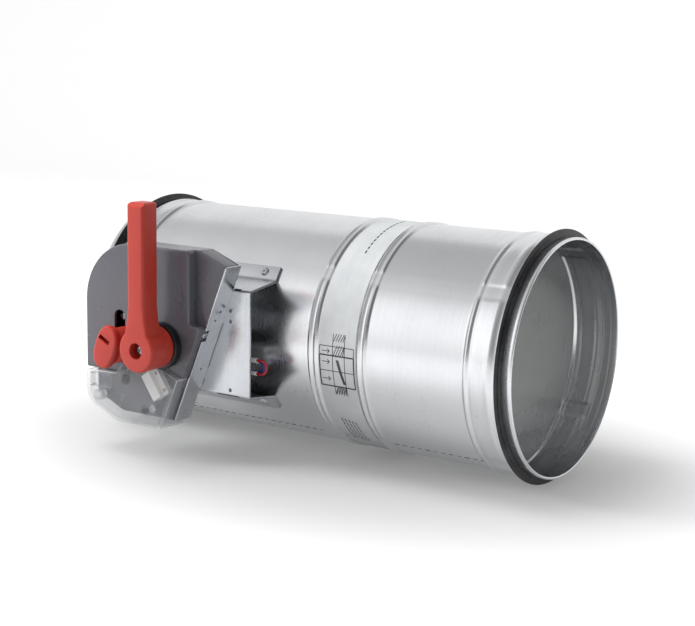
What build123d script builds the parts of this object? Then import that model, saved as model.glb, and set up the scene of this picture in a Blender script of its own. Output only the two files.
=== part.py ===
from build123d import *
import math
import os

os.makedirs("parts", exist_ok=True)

# Driving sizes in millimetres, duct axis along X from the inlet plane, mechanism on the -Y side
LENGTH = 346.0
DUCT_R = 79.7
WALL = 0.8
HEM_W = 5.0
HEM_T = 1.8
RING_NEAR = 14.4
RING_FAR = 29.6
RING_H = 1.4
BEAD_OFF = 19.4
BEAD_W = 8.0
BEAD_H = 1.2
STEP = 1.0
GASKET_NEAR = 5.4
GASKET_SEAT = 0.7
GASKET_W = 4.8
GASKET_H = 4.9
BAND_W = 29.6
BAND_T = 0.15
BAND_LIFT = 0.1
BAND_GAP = 41.7
BAND_TURN = -105.0

# Fits and gaps
GAP = 0.4
RUN = 0.05
LOOSE = 0.1

# Blade sizes, its axis measured from the inlet plane
BLADE_X = 217.1
BLADE_T = 24.0
BLADE_EDGE = 2.7
SEAL_GAP = 0.5
SEAL_T = 3.0
SEAL_DEPTH = 3.2
STRIP_W = 5.0
STRIP_MID = 7.0
STRIP_T = 2.2
STRIP_RISE = 0.7
PIVOT_R = 4.0
PIVOT_IN = 17.0
PIVOT_BUSH_R = 6.5
PIVOT_FLANGE_R = 8.0
PIVOT_FLANGE_T = 1.0
PIVOT_RELIEF_R = 9.0
STOP_L = 10.0
STOP_H = 9.0
STOP_W = 20.0

# Drive and linkage sizes, the two axes a link rod apart
DRIVE_X = BLADE_X - 114.8
DRIVE_Z = -3.1
SHAFT_R = 5.0
SHAFT_BUSH_R = 8.0
BUSH_IN = DUCT_R - 5.7
ARM_DX = -24.0
ARM_DZ = 24.0
LINK_Y = 21.7 - DUCT_R
ARM_T = 4.0
ROD_T = 3.0
ROD_W = 12.0
LINK_PIN_R = 3.0
LINK_HEAD_R = 4.6
LINK_HEAD_T = 1.0
CRANK_HUB_R = 10.0
ARM_END_R = 7.0
LEVER_T = 2.0
BOLT_HEAD_R = 3.0
BOLT_HEAD_T = 2.0

# Bracket and tray sizes
PLATE_Y = -DUCT_R - 18.8
PLATE_T = 1.5
PLATE_HALF = 37.0
BRACKET_X0 = DRIVE_X - 66.3
BRACKET_X1 = DRIVE_X + 57.3
FOOT_IN = 29.4
FOOT_OUT = 37.6
RIVET_ANGLE = 34.3
RIVET_R = 3.1
RIVET_H = 1.1
RIVET_END = 11.5
TRAY_T = 1.0
TRAY_RISE = 16.0
STRIP_LEAN = 21.9
STRIP_X = DRIVE_X + 28.6
STRIP_TOP = 53.8
STRIP_BOT = -56.9

# Housing and cover sizes
HOUSING_X0 = DRIVE_X - 71.8
HOUSING_TOP = 63.1
HOUSING_SHOULDER = DRIVE_X + 25.6
CORNER_R = 42.0
HOUSING_D = 20.0
HOUSING_WALL = 2.0
TERRACE_D = 12.7
POCKET_X = DRIVE_X + 22.0
POCKET_Z = 12.2
POCKET_R = 3.0
STEP_Z = -27.5
COVER_D = 11.8
COVER_WALL = 1.5
POST_R = 4.0
POST_BORE_R = 1.6
COVER_SCREW_R = 3.0
CABLE_R = 4.2

# Handle sizes
COLLAR_R = 15.8
COLLAR_T = 6.0
HUB_R = 14.8
HUB_L = 22.1
HANDLE_L = 98.8
HANDLE_W = 14.0
HANDLE_D = 15.0
HANDLE_TIP = 4.0
SCREW_WELL_R = 5.5
SCREW_WELL_D = 7.0
SCREW_HEAD_R = 4.0
SCREW_HEAD_T = 2.6
SCREW_R = 2.2
SHAFT_IN_HUB = 13.0
CAM_R = 20.0
CAM_T = 4.0
CAM_NOTCH = 250.0
DRUM_R = 18.0
DRUM_T = 4.0

# Release sizes
BUTTON_X = DRIVE_X - 36.6
BUTTON_Z = -7.0
BUTTON_R = 12.0
BUTTON_GAP = 0.6
PADDLE_LONG = 16.0
PADDLE_WIDE = 10.0
PADDLE_TILT = 18.0
PADDLE_T = 6.0
PADDLE_OFF = 1.6
BUTTON_OUT = 18.5
BUTTON_IN = 5.0
KEYHOLE_R = 5.0
KEYHOLE_Z = 11.6
KEYHOLE_OFF = 3.4
LATCH_SCREW_OFF = 5.7
LATCH_SCREW_Z = 11.2
LATCH_SCREW_R = 2.4
PAWL_PIN_R = 2.0
FUSE_X = DRIVE_X - 36.3
FUSE_Z = -25.0
FUSE_R = 6.0
FUSE_TIP = 19.7 - DUCT_R
LINK_L = 22.0

# Lead sizes
LEAD_R = 0.9
LEAD_Y = PLATE_Y + 7.5
LEAD_X = BRACKET_X1 - 9.6
SLEEVE_R = 1.4

BORE_R = DUCT_R - WALL
HOUSE_Y = PLATE_Y - TRAY_T
FRONT_Y = HOUSE_Y - HOUSING_D
TERRACE_Y = HOUSE_Y - TERRACE_D
COVER_Y = TERRACE_Y - COVER_D
COLLAR_Y = FRONT_Y - COLLAR_T
HUB_BACK = COLLAR_Y - GAP
HUB_FRONT = HUB_BACK - HUB_L
LINK_IN = LINK_Y + ARM_T
ROD_Y = LINK_IN + GAP
HEAD_Y = ROD_Y + ROD_T + GAP
BLADE_R = BORE_R - BLADE_EDGE
SEAL_R = BORE_R - SEAL_GAP


def prism(sketch, back, front):
    """Extrude an X-Z sketch from the plane Y = back out to Y = front."""
    return extrude(Plane.XZ.offset(-back) * sketch, amount=back - front)


def disc(x, z, radius, back, front):
    return prism(Pos(x, z) * Circle(radius), back, front)


def sleeve(x, z, outer, inner, back, front):
    return prism(Pos(x, z) * (Circle(outer) - Circle(inner)), back, front)


def shape(*points):
    return make_face(Polyline(*points, close=True))


def ring(*points):
    """Turn a closed X-R outline about the duct axis."""
    return revolve(Plane.XZ * shape(*points), axis=Axis.X)


def hoop(x0, x1, inner, outer):
    return ring((x0, inner), (x1, inner), (x1, outer), (x0, outer))


def save(solid, name):
    export_step(solid, "parts/" + name + ".step")


# Casing tube, one rolled sheet with hemmed ends, stop rings and two wall beads
seat_end = GASKET_NEAR + GASKET_W + (GASKET_NEAR - HEM_W)
end = [
    (0.0, 0.0),
    (HEM_W, 0.0),
    (HEM_W, -GASKET_SEAT),
    (seat_end, -GASKET_SEAT),
    (seat_end + STEP, 0.0),
    (RING_NEAR, 0.0),
    (RING_NEAR + STEP, RING_H),
    (RING_FAR - STEP, RING_H),
    (RING_FAR, 0.0),
]
outer = [(d, DUCT_R + h) for d, h in end]
for side in (-1, 1):
    mid = BLADE_X + side * BEAD_OFF
    for d, h in ((-BEAD_W / 2, 0), (-BEAD_W / 5, BEAD_H), (BEAD_W / 5, BEAD_H), (BEAD_W / 2, 0)):
        outer.append((mid + d, DUCT_R + h))
outer += [(LENGTH - d, DUCT_R + h) for d, h in reversed(end)]
inner = [(x, r - WALL) for x, r in outer[2:-2]]
hem_r = DUCT_R - HEM_T
inlet_hem = [(0.0, hem_r), (HEM_W, hem_r)]
outlet_hem = [(LENGTH - HEM_W, hem_r), (LENGTH, hem_r)]
casing = ring(*(inlet_hem + inner + outlet_hem + outer[::-1]))
casing -= disc(DRIVE_X, DRIVE_Z, SHAFT_BUSH_R, -BORE_R + 10, PLATE_Y)
casing -= disc(FUSE_X, FUSE_Z, FUSE_R, -BORE_R + 20, PLATE_Y)
casing -= disc(BLADE_X, 0, PIVOT_R, DUCT_R + 1, -DUCT_R - 1)
save(casing, "duct_casing")

# Lip gaskets, one rubber ring behind each end hem
lip = [
    (GASKET_NEAR, -GASKET_SEAT),
    (GASKET_NEAR + GASKET_W, -GASKET_SEAT),
    (GASKET_NEAR + GASKET_W, GASKET_H * 0.3),
    (GASKET_NEAR + GASKET_W * 0.8, GASKET_H * 0.45),
    (GASKET_NEAR + GASKET_W * 0.75, GASKET_H),
    (GASKET_NEAR + GASKET_W * 0.45, GASKET_H),
    (GASKET_NEAR, GASKET_H * 0.35),
]
save(ring(*[(d, DUCT_R + h) for d, h in lip]), "inlet_gasket")
save(ring(*[(LENGTH - d, DUCT_R + h) for d, h in lip]), "outlet_gasket")

# Wall position band, a film wrapped between the two beads
band_r = DUCT_R + BAND_LIFT
band_face = Plane.XZ * shape(
    (BLADE_X - BAND_W / 2, band_r),
    (BLADE_X + BAND_W / 2, band_r),
    (BLADE_X + BAND_W / 2, band_r + BAND_T),
    (BLADE_X - BAND_W / 2, band_r + BAND_T),
)
band_span = 360 - math.degrees(BAND_GAP / DUCT_R)
band = revolve(band_face, axis=Axis.X, revolution_arc=band_span)
save(Rot(X=BAND_TURN) * band, "wall_band")

# Blade stops, two blocks that the shut blade rests against
bore = Rot(Y=90) * Cylinder(BORE_R, 4 * LENGTH)
stop_x = BLADE_T / 2 + GAP + STOP_L / 2
upper = Pos(BLADE_X - stop_x, 0, BORE_R - STOP_H / 2) * Box(STOP_L, STOP_W, STOP_H)
lower = Pos(BLADE_X + stop_x, 0, STOP_H / 2 - BORE_R) * Box(STOP_L, STOP_W, STOP_H)
save(upper & bore, "upper_blade_stop")
save(lower & bore, "lower_blade_stop")

# Pivot pins, riveted through the casing wall on the cross axis
for name, side in (("front_pivot_pin", -1), ("rear_pivot_pin", 1)):
    flange_out = BORE_R - 0.7
    pin = disc(BLADE_X, 0, PIVOT_R, side * (BORE_R - PIVOT_IN), side * (DUCT_R - WALL / 2))
    pin += disc(BLADE_X, 0, PIVOT_FLANGE_R, side * (flange_out - PIVOT_FLANGE_T), side * flange_out)
    save(pin, name)

# Blade core, a fire board disc with a seal groove and two strip grooves in its rim
core = hoop(BLADE_X - BLADE_T / 2, BLADE_X + BLADE_T / 2, 0, BLADE_R)
core -= hoop(BLADE_X - SEAL_T / 2, BLADE_X + SEAL_T / 2, BLADE_R - SEAL_DEPTH, BLADE_R + 5)
groove_r = BLADE_R - STRIP_T + STRIP_RISE
for side in (-1, 1):
    groove_x = BLADE_X + side * STRIP_MID
    core -= hoop(groove_x - STRIP_W / 2, groove_x + STRIP_W / 2, groove_r, BLADE_R + 5)
bush_in = BORE_R - PIVOT_IN - 1
for side in (-1, 1):
    core -= disc(BLADE_X, 0, PIVOT_BUSH_R, side * bush_in, side * (BORE_R + 5))
save(core, "blade_core")

# Rim seal and swelling strips, cut away round the pivots
relief = disc(BLADE_X, 0, PIVOT_RELIEF_R, DUCT_R, -DUCT_R)
seal = hoop(BLADE_X - SEAL_T / 2, BLADE_X + SEAL_T / 2, BLADE_R - SEAL_DEPTH, SEAL_R)
save(seal - relief, "blade_seal")
strips = None
for side in (-1, 1):
    groove_x = BLADE_X + side * STRIP_MID
    strip = hoop(groove_x - STRIP_W / 2, groove_x + STRIP_W / 2, groove_r, groove_r + STRIP_T)
    strips = strip if strips is None else strips + strip
save(strips - relief, "swelling_strips")

# Pivot bushes, turning with the blade on the fixed pins
for name, side in (("front_pivot_bush", -1), ("rear_pivot_bush", 1)):
    save(sleeve(BLADE_X, 0, PIVOT_BUSH_R, PIVOT_R + RUN, side * bush_in, side * (BLADE_R - 1)), name)

# Blade lever, a bent bracket bolted on the upstream face
face_x = BLADE_X - BLADE_T / 2
lug_x = BLADE_X + ARM_DX
base_y = LINK_Y - 4
base_in = LINK_IN + 8
base = Pos(face_x - LEVER_T / 2, (base_y + base_in) / 2, ARM_DZ) * Box(LEVER_T, base_in - base_y, 32)
lug = shape(
    (face_x - LEVER_T, ARM_DZ - 16),
    (face_x - LEVER_T, ARM_DZ + 16),
    (lug_x - 2, ARM_DZ + ARM_END_R),
    (lug_x - 2, ARM_DZ - ARM_END_R),
)
lug = lug + Pos(lug_x, ARM_DZ) * Circle(ARM_END_R) - Pos(lug_x, ARM_DZ) * Circle(LINK_PIN_R)
save(base + prism(lug, LINK_IN, LINK_Y), "blade_lever")

# Lever bolts, heads on the bracket face
bolts = None
for dz in (-10, 10):
    head = Pos(face_x - LEVER_T - BOLT_HEAD_T / 2, base_in - 4, ARM_DZ + dz) * Rot(Y=90)
    bolt = head * Cylinder(BOLT_HEAD_R, BOLT_HEAD_T)
    bolts = bolt if bolts is None else bolts + bolt
save(bolts, "lever_bolts")


def link_pin(x, z):
    """A shouldered pin fixed in a plate, its head outside the rod."""
    shank = disc(x, z, LINK_PIN_R, HEAD_Y, LINK_Y)
    return shank + disc(x, z, LINK_HEAD_R, HEAD_Y + LINK_HEAD_T, HEAD_Y)


save(link_pin(BLADE_X + ARM_DX, ARM_DZ), "lever_pin")

# Link rod, a flat bar parallel to the line between the two axes
crank_x = DRIVE_X + ARM_DX
crank_z = DRIVE_Z + ARM_DZ
span = math.hypot(BLADE_X - DRIVE_X, -DRIVE_Z)
lean = math.degrees(math.atan2(-DRIVE_Z, BLADE_X - DRIVE_X))
rod = Pos(crank_x, crank_z) * Rot(0, 0, lean) * Pos(span / 2, 0) * SlotCenterToCenter(span, ROD_W)
rod -= Pos(crank_x, crank_z) * Circle(LINK_PIN_R + RUN)
rod -= Pos(lug_x, ARM_DZ) * Circle(LINK_PIN_R + LOOSE)
save(prism(rod, ROD_Y + ROD_T, ROD_Y), "link_rod")

# Crank arm and its pin on the drive shaft
arm_l = math.hypot(ARM_DX, ARM_DZ)
arm_a = math.degrees(math.atan2(ARM_DZ, ARM_DX))
crank_mid = Pos(DRIVE_X, DRIVE_Z) * Rot(0, 0, arm_a) * Pos(arm_l / 2, 0)
crank = crank_mid * SlotCenterToCenter(arm_l, 2 * ARM_END_R)
crank += Pos(DRIVE_X, DRIVE_Z) * Circle(CRANK_HUB_R)
crank -= Pos(DRIVE_X, DRIVE_Z) * Circle(SHAFT_R)
crank -= Pos(crank_x, crank_z) * Circle(LINK_PIN_R)
save(prism(crank, LINK_IN, LINK_Y), "crank_arm")
save(link_pin(crank_x, crank_z), "crank_pin")

# Drive shaft and the bush that carries it through tray, bracket and casing
shaft_end = HUB_BACK - SHAFT_IN_HUB
shaft = disc(DRIVE_X, DRIVE_Z, SHAFT_R, LINK_IN, shaft_end)
shaft -= disc(DRIVE_X, DRIVE_Z, SCREW_R, shaft_end + 8, shaft_end)
save(shaft, "drive_shaft")
save(sleeve(DRIVE_X, DRIVE_Z, SHAFT_BUSH_R, SHAFT_R + RUN, -BUSH_IN, HOUSE_Y), "shaft_bush")

# Hat bracket, a folded sheet with feet on the casing


def polar(radius, angle):
    turn = math.radians(angle)
    return (-radius * math.cos(turn), radius * math.sin(turn))


foot_r = DUCT_R + PLATE_T
section = Pos(PLATE_Y + PLATE_T / 2, 0) * Rectangle(PLATE_T, 2 * PLATE_HALF)
for side in (1, -1):
    wedge = shape((0, 0), polar(200, side * FOOT_IN), polar(200, side * FOOT_OUT))
    section += (Circle(foot_r) - Circle(DUCT_R)) & wedge
    web = [
        (PLATE_Y, side * PLATE_HALF),
        (PLATE_Y, side * (PLATE_HALF - PLATE_T)),
        polar(DUCT_R + 0.001, side * FOOT_IN),
        polar(foot_r, side * (FOOT_IN + 0.9)),
    ]
    section += shape(*web)
bracket = extrude(Plane.YZ.offset(BRACKET_X0) * section, amount=BRACKET_X1 - BRACKET_X0)
bracket -= disc(DRIVE_X, DRIVE_Z, SHAFT_BUSH_R, PLATE_Y + 5, PLATE_Y - 5)
bracket -= disc(FUSE_X, FUSE_Z, FUSE_R, PLATE_Y + 5, PLATE_Y - 5)
hole_x = BRACKET_X1 - 16.5
for hz in (22.1, 14.9, -32.5):
    bracket -= disc(hole_x, hz, 1.3, PLATE_Y + 5, PLATE_Y - 5)
save(bracket, "hat_bracket")

# Bracket rivets, two at each end of each foot
rivets = None
for x in (BRACKET_X0 + RIVET_END, BRACKET_X1 - RIVET_END):
    for side in (1, -1):
        y, z = polar(foot_r + RIVET_H / 2 - 0.02, side * RIVET_ANGLE)
        rivet = Pos(x, y, z) * Rot(X=90 - side * RIVET_ANGLE) * Cylinder(RIVET_R, RIVET_H)
        rivet -= Rot(Y=90) * Cylinder(foot_r, 4 * LENGTH)
        rivets = rivet if rivets is None else rivets + rivet
save(rivets, "bracket_rivets")

# Mechanism tray, a base sheet with one leaning side wall
run = math.tan(math.radians(STRIP_LEAN))
skew = 1 / math.cos(math.radians(STRIP_LEAN))


def lean_x(z, inset):
    """The leaning wall's X at height z, moved in by an inset square to it."""
    return STRIP_X + run * z - inset * skew


inset = TRAY_T + GAP
outline = shape(
    (HOUSING_X0, STEP_Z),
    (HOUSING_X0, HOUSING_TOP),
    (HOUSING_SHOULDER, HOUSING_TOP),
    (lean_x(STRIP_TOP, inset), STRIP_TOP),
    (lean_x(STRIP_BOT, inset), STRIP_BOT),
    (HOUSING_X0 + 27.1, STRIP_BOT),
    (HOUSING_X0 + 10.2, -49.4),
    (HOUSING_X0 + 4.0, -44.0),
    (HOUSING_X0 + 4.0, STEP_Z),
)
corner = outline.vertices().sort_by(Axis.X)[:4].sort_by(Axis.Y)[-1]
outline = fillet(corner, CORNER_R)
base = outline + shape(
    (lean_x(STRIP_TOP, 0), STRIP_TOP),
    (lean_x(STRIP_BOT, 0), STRIP_BOT),
    (lean_x(STRIP_BOT, 6), STRIP_BOT),
    (lean_x(STRIP_TOP, 6), STRIP_TOP),
)
wall = shape(
    (lean_x(STRIP_TOP, 0), STRIP_TOP),
    (lean_x(STRIP_BOT, 0), STRIP_BOT),
    (lean_x(STRIP_BOT, TRAY_T), STRIP_BOT),
    (lean_x(STRIP_TOP, TRAY_T), STRIP_TOP),
)
tray = prism(base, PLATE_Y, HOUSE_Y) + prism(wall, PLATE_Y, PLATE_Y - TRAY_RISE)
tray -= disc(DRIVE_X, DRIVE_Z, SHAFT_BUSH_R, PLATE_Y + 5, HOUSE_Y - 1)
tray -= disc(FUSE_X, FUSE_Z, FUSE_R, PLATE_Y + 5, HOUSE_Y - 1)
notch_x = lean_x(5.5, 0)
tray -= Pos(notch_x, PLATE_Y - TRAY_RISE, 5.5) * Rot(Y=STRIP_LEAN) * Box(8, 9, 8)
save(tray, "mechanism_tray")

# Dark housing, a shell with a raised block, a side pocket and a lower terrace
hub_clear = COLLAR_R + 2 * GAP
cover_line = [
    (HOUSING_X0 + 4.0, STEP_Z - 0.5),
    (HOUSING_X0 + 31.5, STEP_Z),
    (HOUSING_X0 + 36.0, -21.8),
    (HOUSING_X0 + 48.5, -14.0),
    (HOUSING_X0 + 58.5, -13.5),
    (HOUSING_X0 + 87.3, -25.0),
]
zone = [(x, z + GAP) for x, z in cover_line]
zone[0] = (HOUSING_X0 - 30, STEP_Z - 0.1)
corner_x, corner_z = cover_line[-1]
far_x = DRIVE_X + 70
zone += [(far_x, corner_z + GAP - run * (far_x - corner_x)), (far_x, -90), (HOUSING_X0 - 30, -90)]
zone = shape(*zone)
pocket = shape((POCKET_X, 90), (POCKET_X, POCKET_Z), (far_x, POCKET_Z), (far_x, 90))
pocket = fillet(pocket.vertices().sort_by(Axis.X)[:2].sort_by(Axis.Y)[0], POCKET_R)
block = outline - zone - pocket
housing = prism(outline, HOUSE_Y, TERRACE_Y) + prism(block, HOUSE_Y, FRONT_Y)
front_rim = housing.faces().sort_by(Axis.Y)[0].edges()
housing = fillet(front_rim, 1.2)
housing -= prism(offset(outline, amount=-HOUSING_WALL), HOUSE_Y, TERRACE_Y + HOUSING_WALL)
housing -= prism(offset(block, amount=-HOUSING_WALL), HOUSE_Y, FRONT_Y + HOUSING_WALL)
housing -= disc(DRIVE_X, DRIVE_Z, SHAFT_R + 1.2, HOUSE_Y, FRONT_Y - 1)
keyhole = Pos(BUTTON_X, BUTTON_Z) * Circle(BUTTON_R + BUTTON_GAP)
keyhole += Pos(BUTTON_X - KEYHOLE_OFF, KEYHOLE_Z) * Circle(KEYHOLE_R)
slot_mid = (KEYHOLE_Z + BUTTON_Z) / 2
keyhole += Pos(BUTTON_X - KEYHOLE_OFF, slot_mid) * Rectangle(2 * KEYHOLE_R, KEYHOLE_Z - BUTTON_Z)
housing -= prism(keyhole, HOUSE_Y, FRONT_Y - 1)
cable_x = HOUSING_X0 + 29.9
housing -= disc(cable_x, -34.3, CABLE_R, HOUSE_Y, TERRACE_Y - 1)
save(housing, "mechanism_housing")

# Clear terminal cover, a shell with a skirt under the housing and two screw posts
cover_shape = shape(
    *cover_line,
    (HOUSING_X0 + 72.2, -61.4),
    (HOUSING_X0 + 32.1, -61.5),
    (HOUSING_X0 + 9.3, -51.5),
    (HOUSING_X0 + 4.0, -44.0),
)
hub_hole = Pos(DRIVE_X, DRIVE_Z) * Circle(hub_clear)
cover_shape = cover_shape - hub_hole
inside = offset(cover_shape, amount=-COVER_WALL, kind=Kind.INTERSECTION)
cover = prism(cover_shape, TERRACE_Y, COVER_Y) - prism(inside, TERRACE_Y, COVER_Y + COVER_WALL)
skirt = shape(
    (HOUSING_X0 + 9.3, -51.5),
    (HOUSING_X0 + 32.1, -61.5),
    (HOUSING_X0 + 72.2, -61.4),
    (HOUSING_X0 + 72.8, -59.9),
    (HOUSING_X0 + 32.4, -60.0),
    (HOUSING_X0 + 10.0, -50.15),
)
cover += prism(skirt, HOUSE_Y, TERRACE_Y)
posts = ((HOUSING_X0 + 13.2, -45.7), (HOUSING_X0 + 58.1, -50.5))
for x, z in posts:
    cover += disc(x, z, POST_R, TERRACE_Y, COVER_Y + COVER_WALL)
for x, z in posts:
    cover -= disc(x, z, POST_BORE_R, TERRACE_Y, COVER_Y)
save(cover, "terminal_cover")

# Cover screws, one in each post
screws = None
for x, z in posts:
    screw = disc(x, z, COVER_SCREW_R, COVER_Y, COVER_Y - 1.6) + disc(x, z, POST_BORE_R, TERRACE_Y, COVER_Y)
    screws = screw if screws is None else screws + screw
save(screws, "cover_screws")

# Terminal block, a leaning white box on the terrace
block_x = HOUSING_X0 + 62.5
leads_box = Pos(block_x, -32.2) * Rot(0, 0, 35) * Rectangle(13, 20)
terminal = prism(leads_box, TERRACE_Y, TERRACE_Y - 8)
for step in (-6, 0, 6):
    pole = Pos(block_x, -32.2) * Rot(0, 0, 35) * Pos(0, step) * Rectangle(7, 3)
    terminal -= prism(pole, TERRACE_Y - 5, TERRACE_Y - 8)
save(terminal, "terminal_block")

# Black collar on the housing front round the shaft
save(sleeve(DRIVE_X, DRIVE_Z, COLLAR_R, SHAFT_R + RUN, FRONT_Y, COLLAR_Y), "shaft_collar")

# Lever handle, a hub with an upright arm and a screw well
hub = disc(DRIVE_X, DRIVE_Z, HUB_R, HUB_BACK, HUB_FRONT)
hub = fillet(hub.faces().sort_by(Axis.Y)[0].edges(), 2.0)
arm_mid = DRIVE_Z + HANDLE_L / 2
arm = Pos(DRIVE_X, HUB_FRONT + HANDLE_D / 2, arm_mid) * Box(HANDLE_W, HANDLE_D, HANDLE_L)
tip = arm.faces().sort_by(Axis.Z)[-1].edges().sort_by(Axis.Y)[0]
arm = chamfer(tip, HANDLE_TIP)
arm = fillet(arm.edges().filter_by(Axis.Z), 1.5)
flare = shape(
    (DRIVE_X - HANDLE_W / 2, DRIVE_Z + 32),
    (DRIVE_X + HANDLE_W / 2, DRIVE_Z + 32),
    (DRIVE_X + HANDLE_W / 2 + 1.4, DRIVE_Z + 20),
    (DRIVE_X + HUB_R * 0.8, DRIVE_Z + HUB_R * 0.6),
    (DRIVE_X - HUB_R * 0.8, DRIVE_Z + HUB_R * 0.6),
    (DRIVE_X - HANDLE_W / 2 - 1.4, DRIVE_Z + 20),
)
neck = prism(flare, HUB_FRONT + HANDLE_D - 0.5, HUB_FRONT + 0.5)
handle = hub + arm + neck
handle -= disc(DRIVE_X, DRIVE_Z, SCREW_WELL_R, HUB_FRONT + SCREW_WELL_D, HUB_FRONT - 1)
handle -= disc(DRIVE_X, DRIVE_Z, SCREW_R, HUB_BACK, HUB_FRONT)
handle -= disc(DRIVE_X, DRIVE_Z, SHAFT_R, HUB_BACK, shaft_end)
save(handle, "lever_handle")
well_y = HUB_FRONT + SCREW_WELL_D
handle_screw = disc(DRIVE_X, DRIVE_Z, SCREW_HEAD_R, well_y, well_y - SCREW_HEAD_T)
handle_screw += disc(DRIVE_X, DRIVE_Z, SCREW_R, shaft_end + 8, well_y)
save(handle_screw, "handle_screw")

# Spring drum on the tray and the cam that turns with the shaft
drum_y = HOUSE_Y - DRUM_T
save(sleeve(DRIVE_X, DRIVE_Z, DRUM_R, SHAFT_BUSH_R + 1, HOUSE_Y, drum_y), "spring_drum")
cam = Pos(DRIVE_X, DRIVE_Z) * (Circle(CAM_R) - Circle(SHAFT_R))
cam -= Pos(DRIVE_X, DRIVE_Z) * Rot(0, 0, CAM_NOTCH) * Pos(CAM_R, 0) * Rectangle(7, 9)
cam_y = drum_y - GAP
save(prism(cam, cam_y, cam_y - CAM_T), "cam_disc")

# Release button, a round boss with a leaning oval paddle
boss_in = FRONT_Y + BUTTON_IN
paddle_y = FRONT_Y - BUTTON_OUT
button = disc(BUTTON_X, BUTTON_Z, BUTTON_R, boss_in, paddle_y + PADDLE_T)
paddle = Pos(BUTTON_X - PADDLE_OFF, BUTTON_Z) * Rot(0, 0, -PADDLE_TILT) * Ellipse(PADDLE_WIDE, PADDLE_LONG)
paddle = prism(paddle, paddle_y + PADDLE_T, paddle_y)
paddle = fillet(paddle.faces().sort_by(Axis.Y)[0].edges(), 1.6)
pull_slot = Pos(BUTTON_X - PADDLE_OFF + 0.6, BUTTON_Z + 5.6) * Rot(0, 0, -28) * Rectangle(8.2, 2.8)
button = button + paddle - prism(pull_slot, paddle_y + 4, paddle_y - 1)
save(button, "release_button")

# Latch pawl and pin beside the cam, and the screw seen in the keyhole
pawl_x = DRIVE_X - CAM_R - 8
pawl_z = DRIVE_Z + 27
pawl = Pos(pawl_x, pawl_z) * Circle(5)
pawl += shape(
    (pawl_x - 5, pawl_z),
    (pawl_x + 5, pawl_z),
    (DRIVE_X - CAM_R + 1.2, DRIVE_Z + 11),
    (DRIVE_X - CAM_R - 1.2, DRIVE_Z + 4),
    (pawl_x - 3, DRIVE_Z + 4),
)
pawl -= Pos(pawl_x, pawl_z) * Circle(PAWL_PIN_R + RUN)
save(prism(pawl, cam_y, cam_y - CAM_T), "latch_pawl")
pin = disc(pawl_x, pawl_z, PAWL_PIN_R, HOUSE_Y, cam_y - CAM_T - GAP)
save(pin + disc(pawl_x, pawl_z, PAWL_PIN_R + 1.4, HOUSE_Y, cam_y + GAP), "latch_pin")
screw_x = BUTTON_X - LATCH_SCREW_OFF
latch_screw = disc(screw_x, LATCH_SCREW_Z, LATCH_SCREW_R, HOUSE_Y, TERRACE_Y)
latch_screw += disc(screw_x, LATCH_SCREW_Z, LATCH_SCREW_R + 0.8, TERRACE_Y, TERRACE_Y - 2)
save(latch_screw, "latch_screw")

# Limit switches over and under the cam
switch_a = Pos(DRIVE_X, DRIVE_Z + CAM_R + 9) * Rectangle(20, 10)
save(prism(switch_a, HOUSE_Y, HOUSE_Y - 6.5), "open_switch")
switch_b = Pos(DRIVE_X - 12, DRIVE_Z - CAM_R - 11) * Rectangle(20, 10)
save(prism(switch_b, HOUSE_Y, HOUSE_Y - 6.5), "shut_switch")

# Thermal fuse, a sleeve through the wall with a link in the air stream
save(disc(FUSE_X, FUSE_Z, FUSE_R, FUSE_TIP, HOUSE_Y), "fuse_holder")
link = Pos(FUSE_X, FUSE_TIP + LINK_L / 2, FUSE_Z) * Box(1.6, LINK_L, 8)
save(link, "fuse_link")

# Leads, two loops out of a connector behind the bracket plate
plate_back = PLATE_Y + PLATE_T
connector_y = LEAD_Y + 5
connector = Pos(LEAD_X - 7, (plate_back + connector_y) / 2, -15.5) * Box(14, connector_y - plate_back, 15)
save(connector, "lead_connector")


def lead(y, z_top, z_low, reach):
    """A wire out along X, round a half turn and back."""
    half = (z_top - z_low) / 2
    x1 = LEAD_X + reach
    out = Line((LEAD_X, y, z_top), (x1, y, z_top))
    turn = ThreePointArc((x1, y, z_top), (x1 + half, y, z_top - half), (x1, y, z_low))
    back = Line((x1, y, z_low), (LEAD_X, y, z_low))
    path = Wire([out, turn, back])
    start = Plane(origin=(LEAD_X, y, z_top), z_dir=(1, 0, 0))
    return sweep(start * Circle(LEAD_R), path=path)


red_z = (-10.8, -20.0)
blue_z = (-12.2, -19.4)
blue_y = LEAD_Y + 2.6
save(lead(LEAD_Y, red_z[0], red_z[1], 13.5), "red_lead")
save(lead(blue_y, blue_z[0], blue_z[1], 10.5), "blue_lead")
sleeves = None
for y, z in ((LEAD_Y, red_z[0]), (LEAD_Y, red_z[1]), (blue_y, blue_z[0])):
    tube = Pos(LEAD_X + 6.5, y, z) * Rot(Y=90) * (Cylinder(SLEEVE_R, 7) - Cylinder(LEAD_R, 7))
    sleeves = tube if sleeves is None else sleeves + tube
save(sleeves, "lead_sleeves")
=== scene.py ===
import math

import bmesh
import bpy
from mathutils import Matrix, Vector


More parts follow.
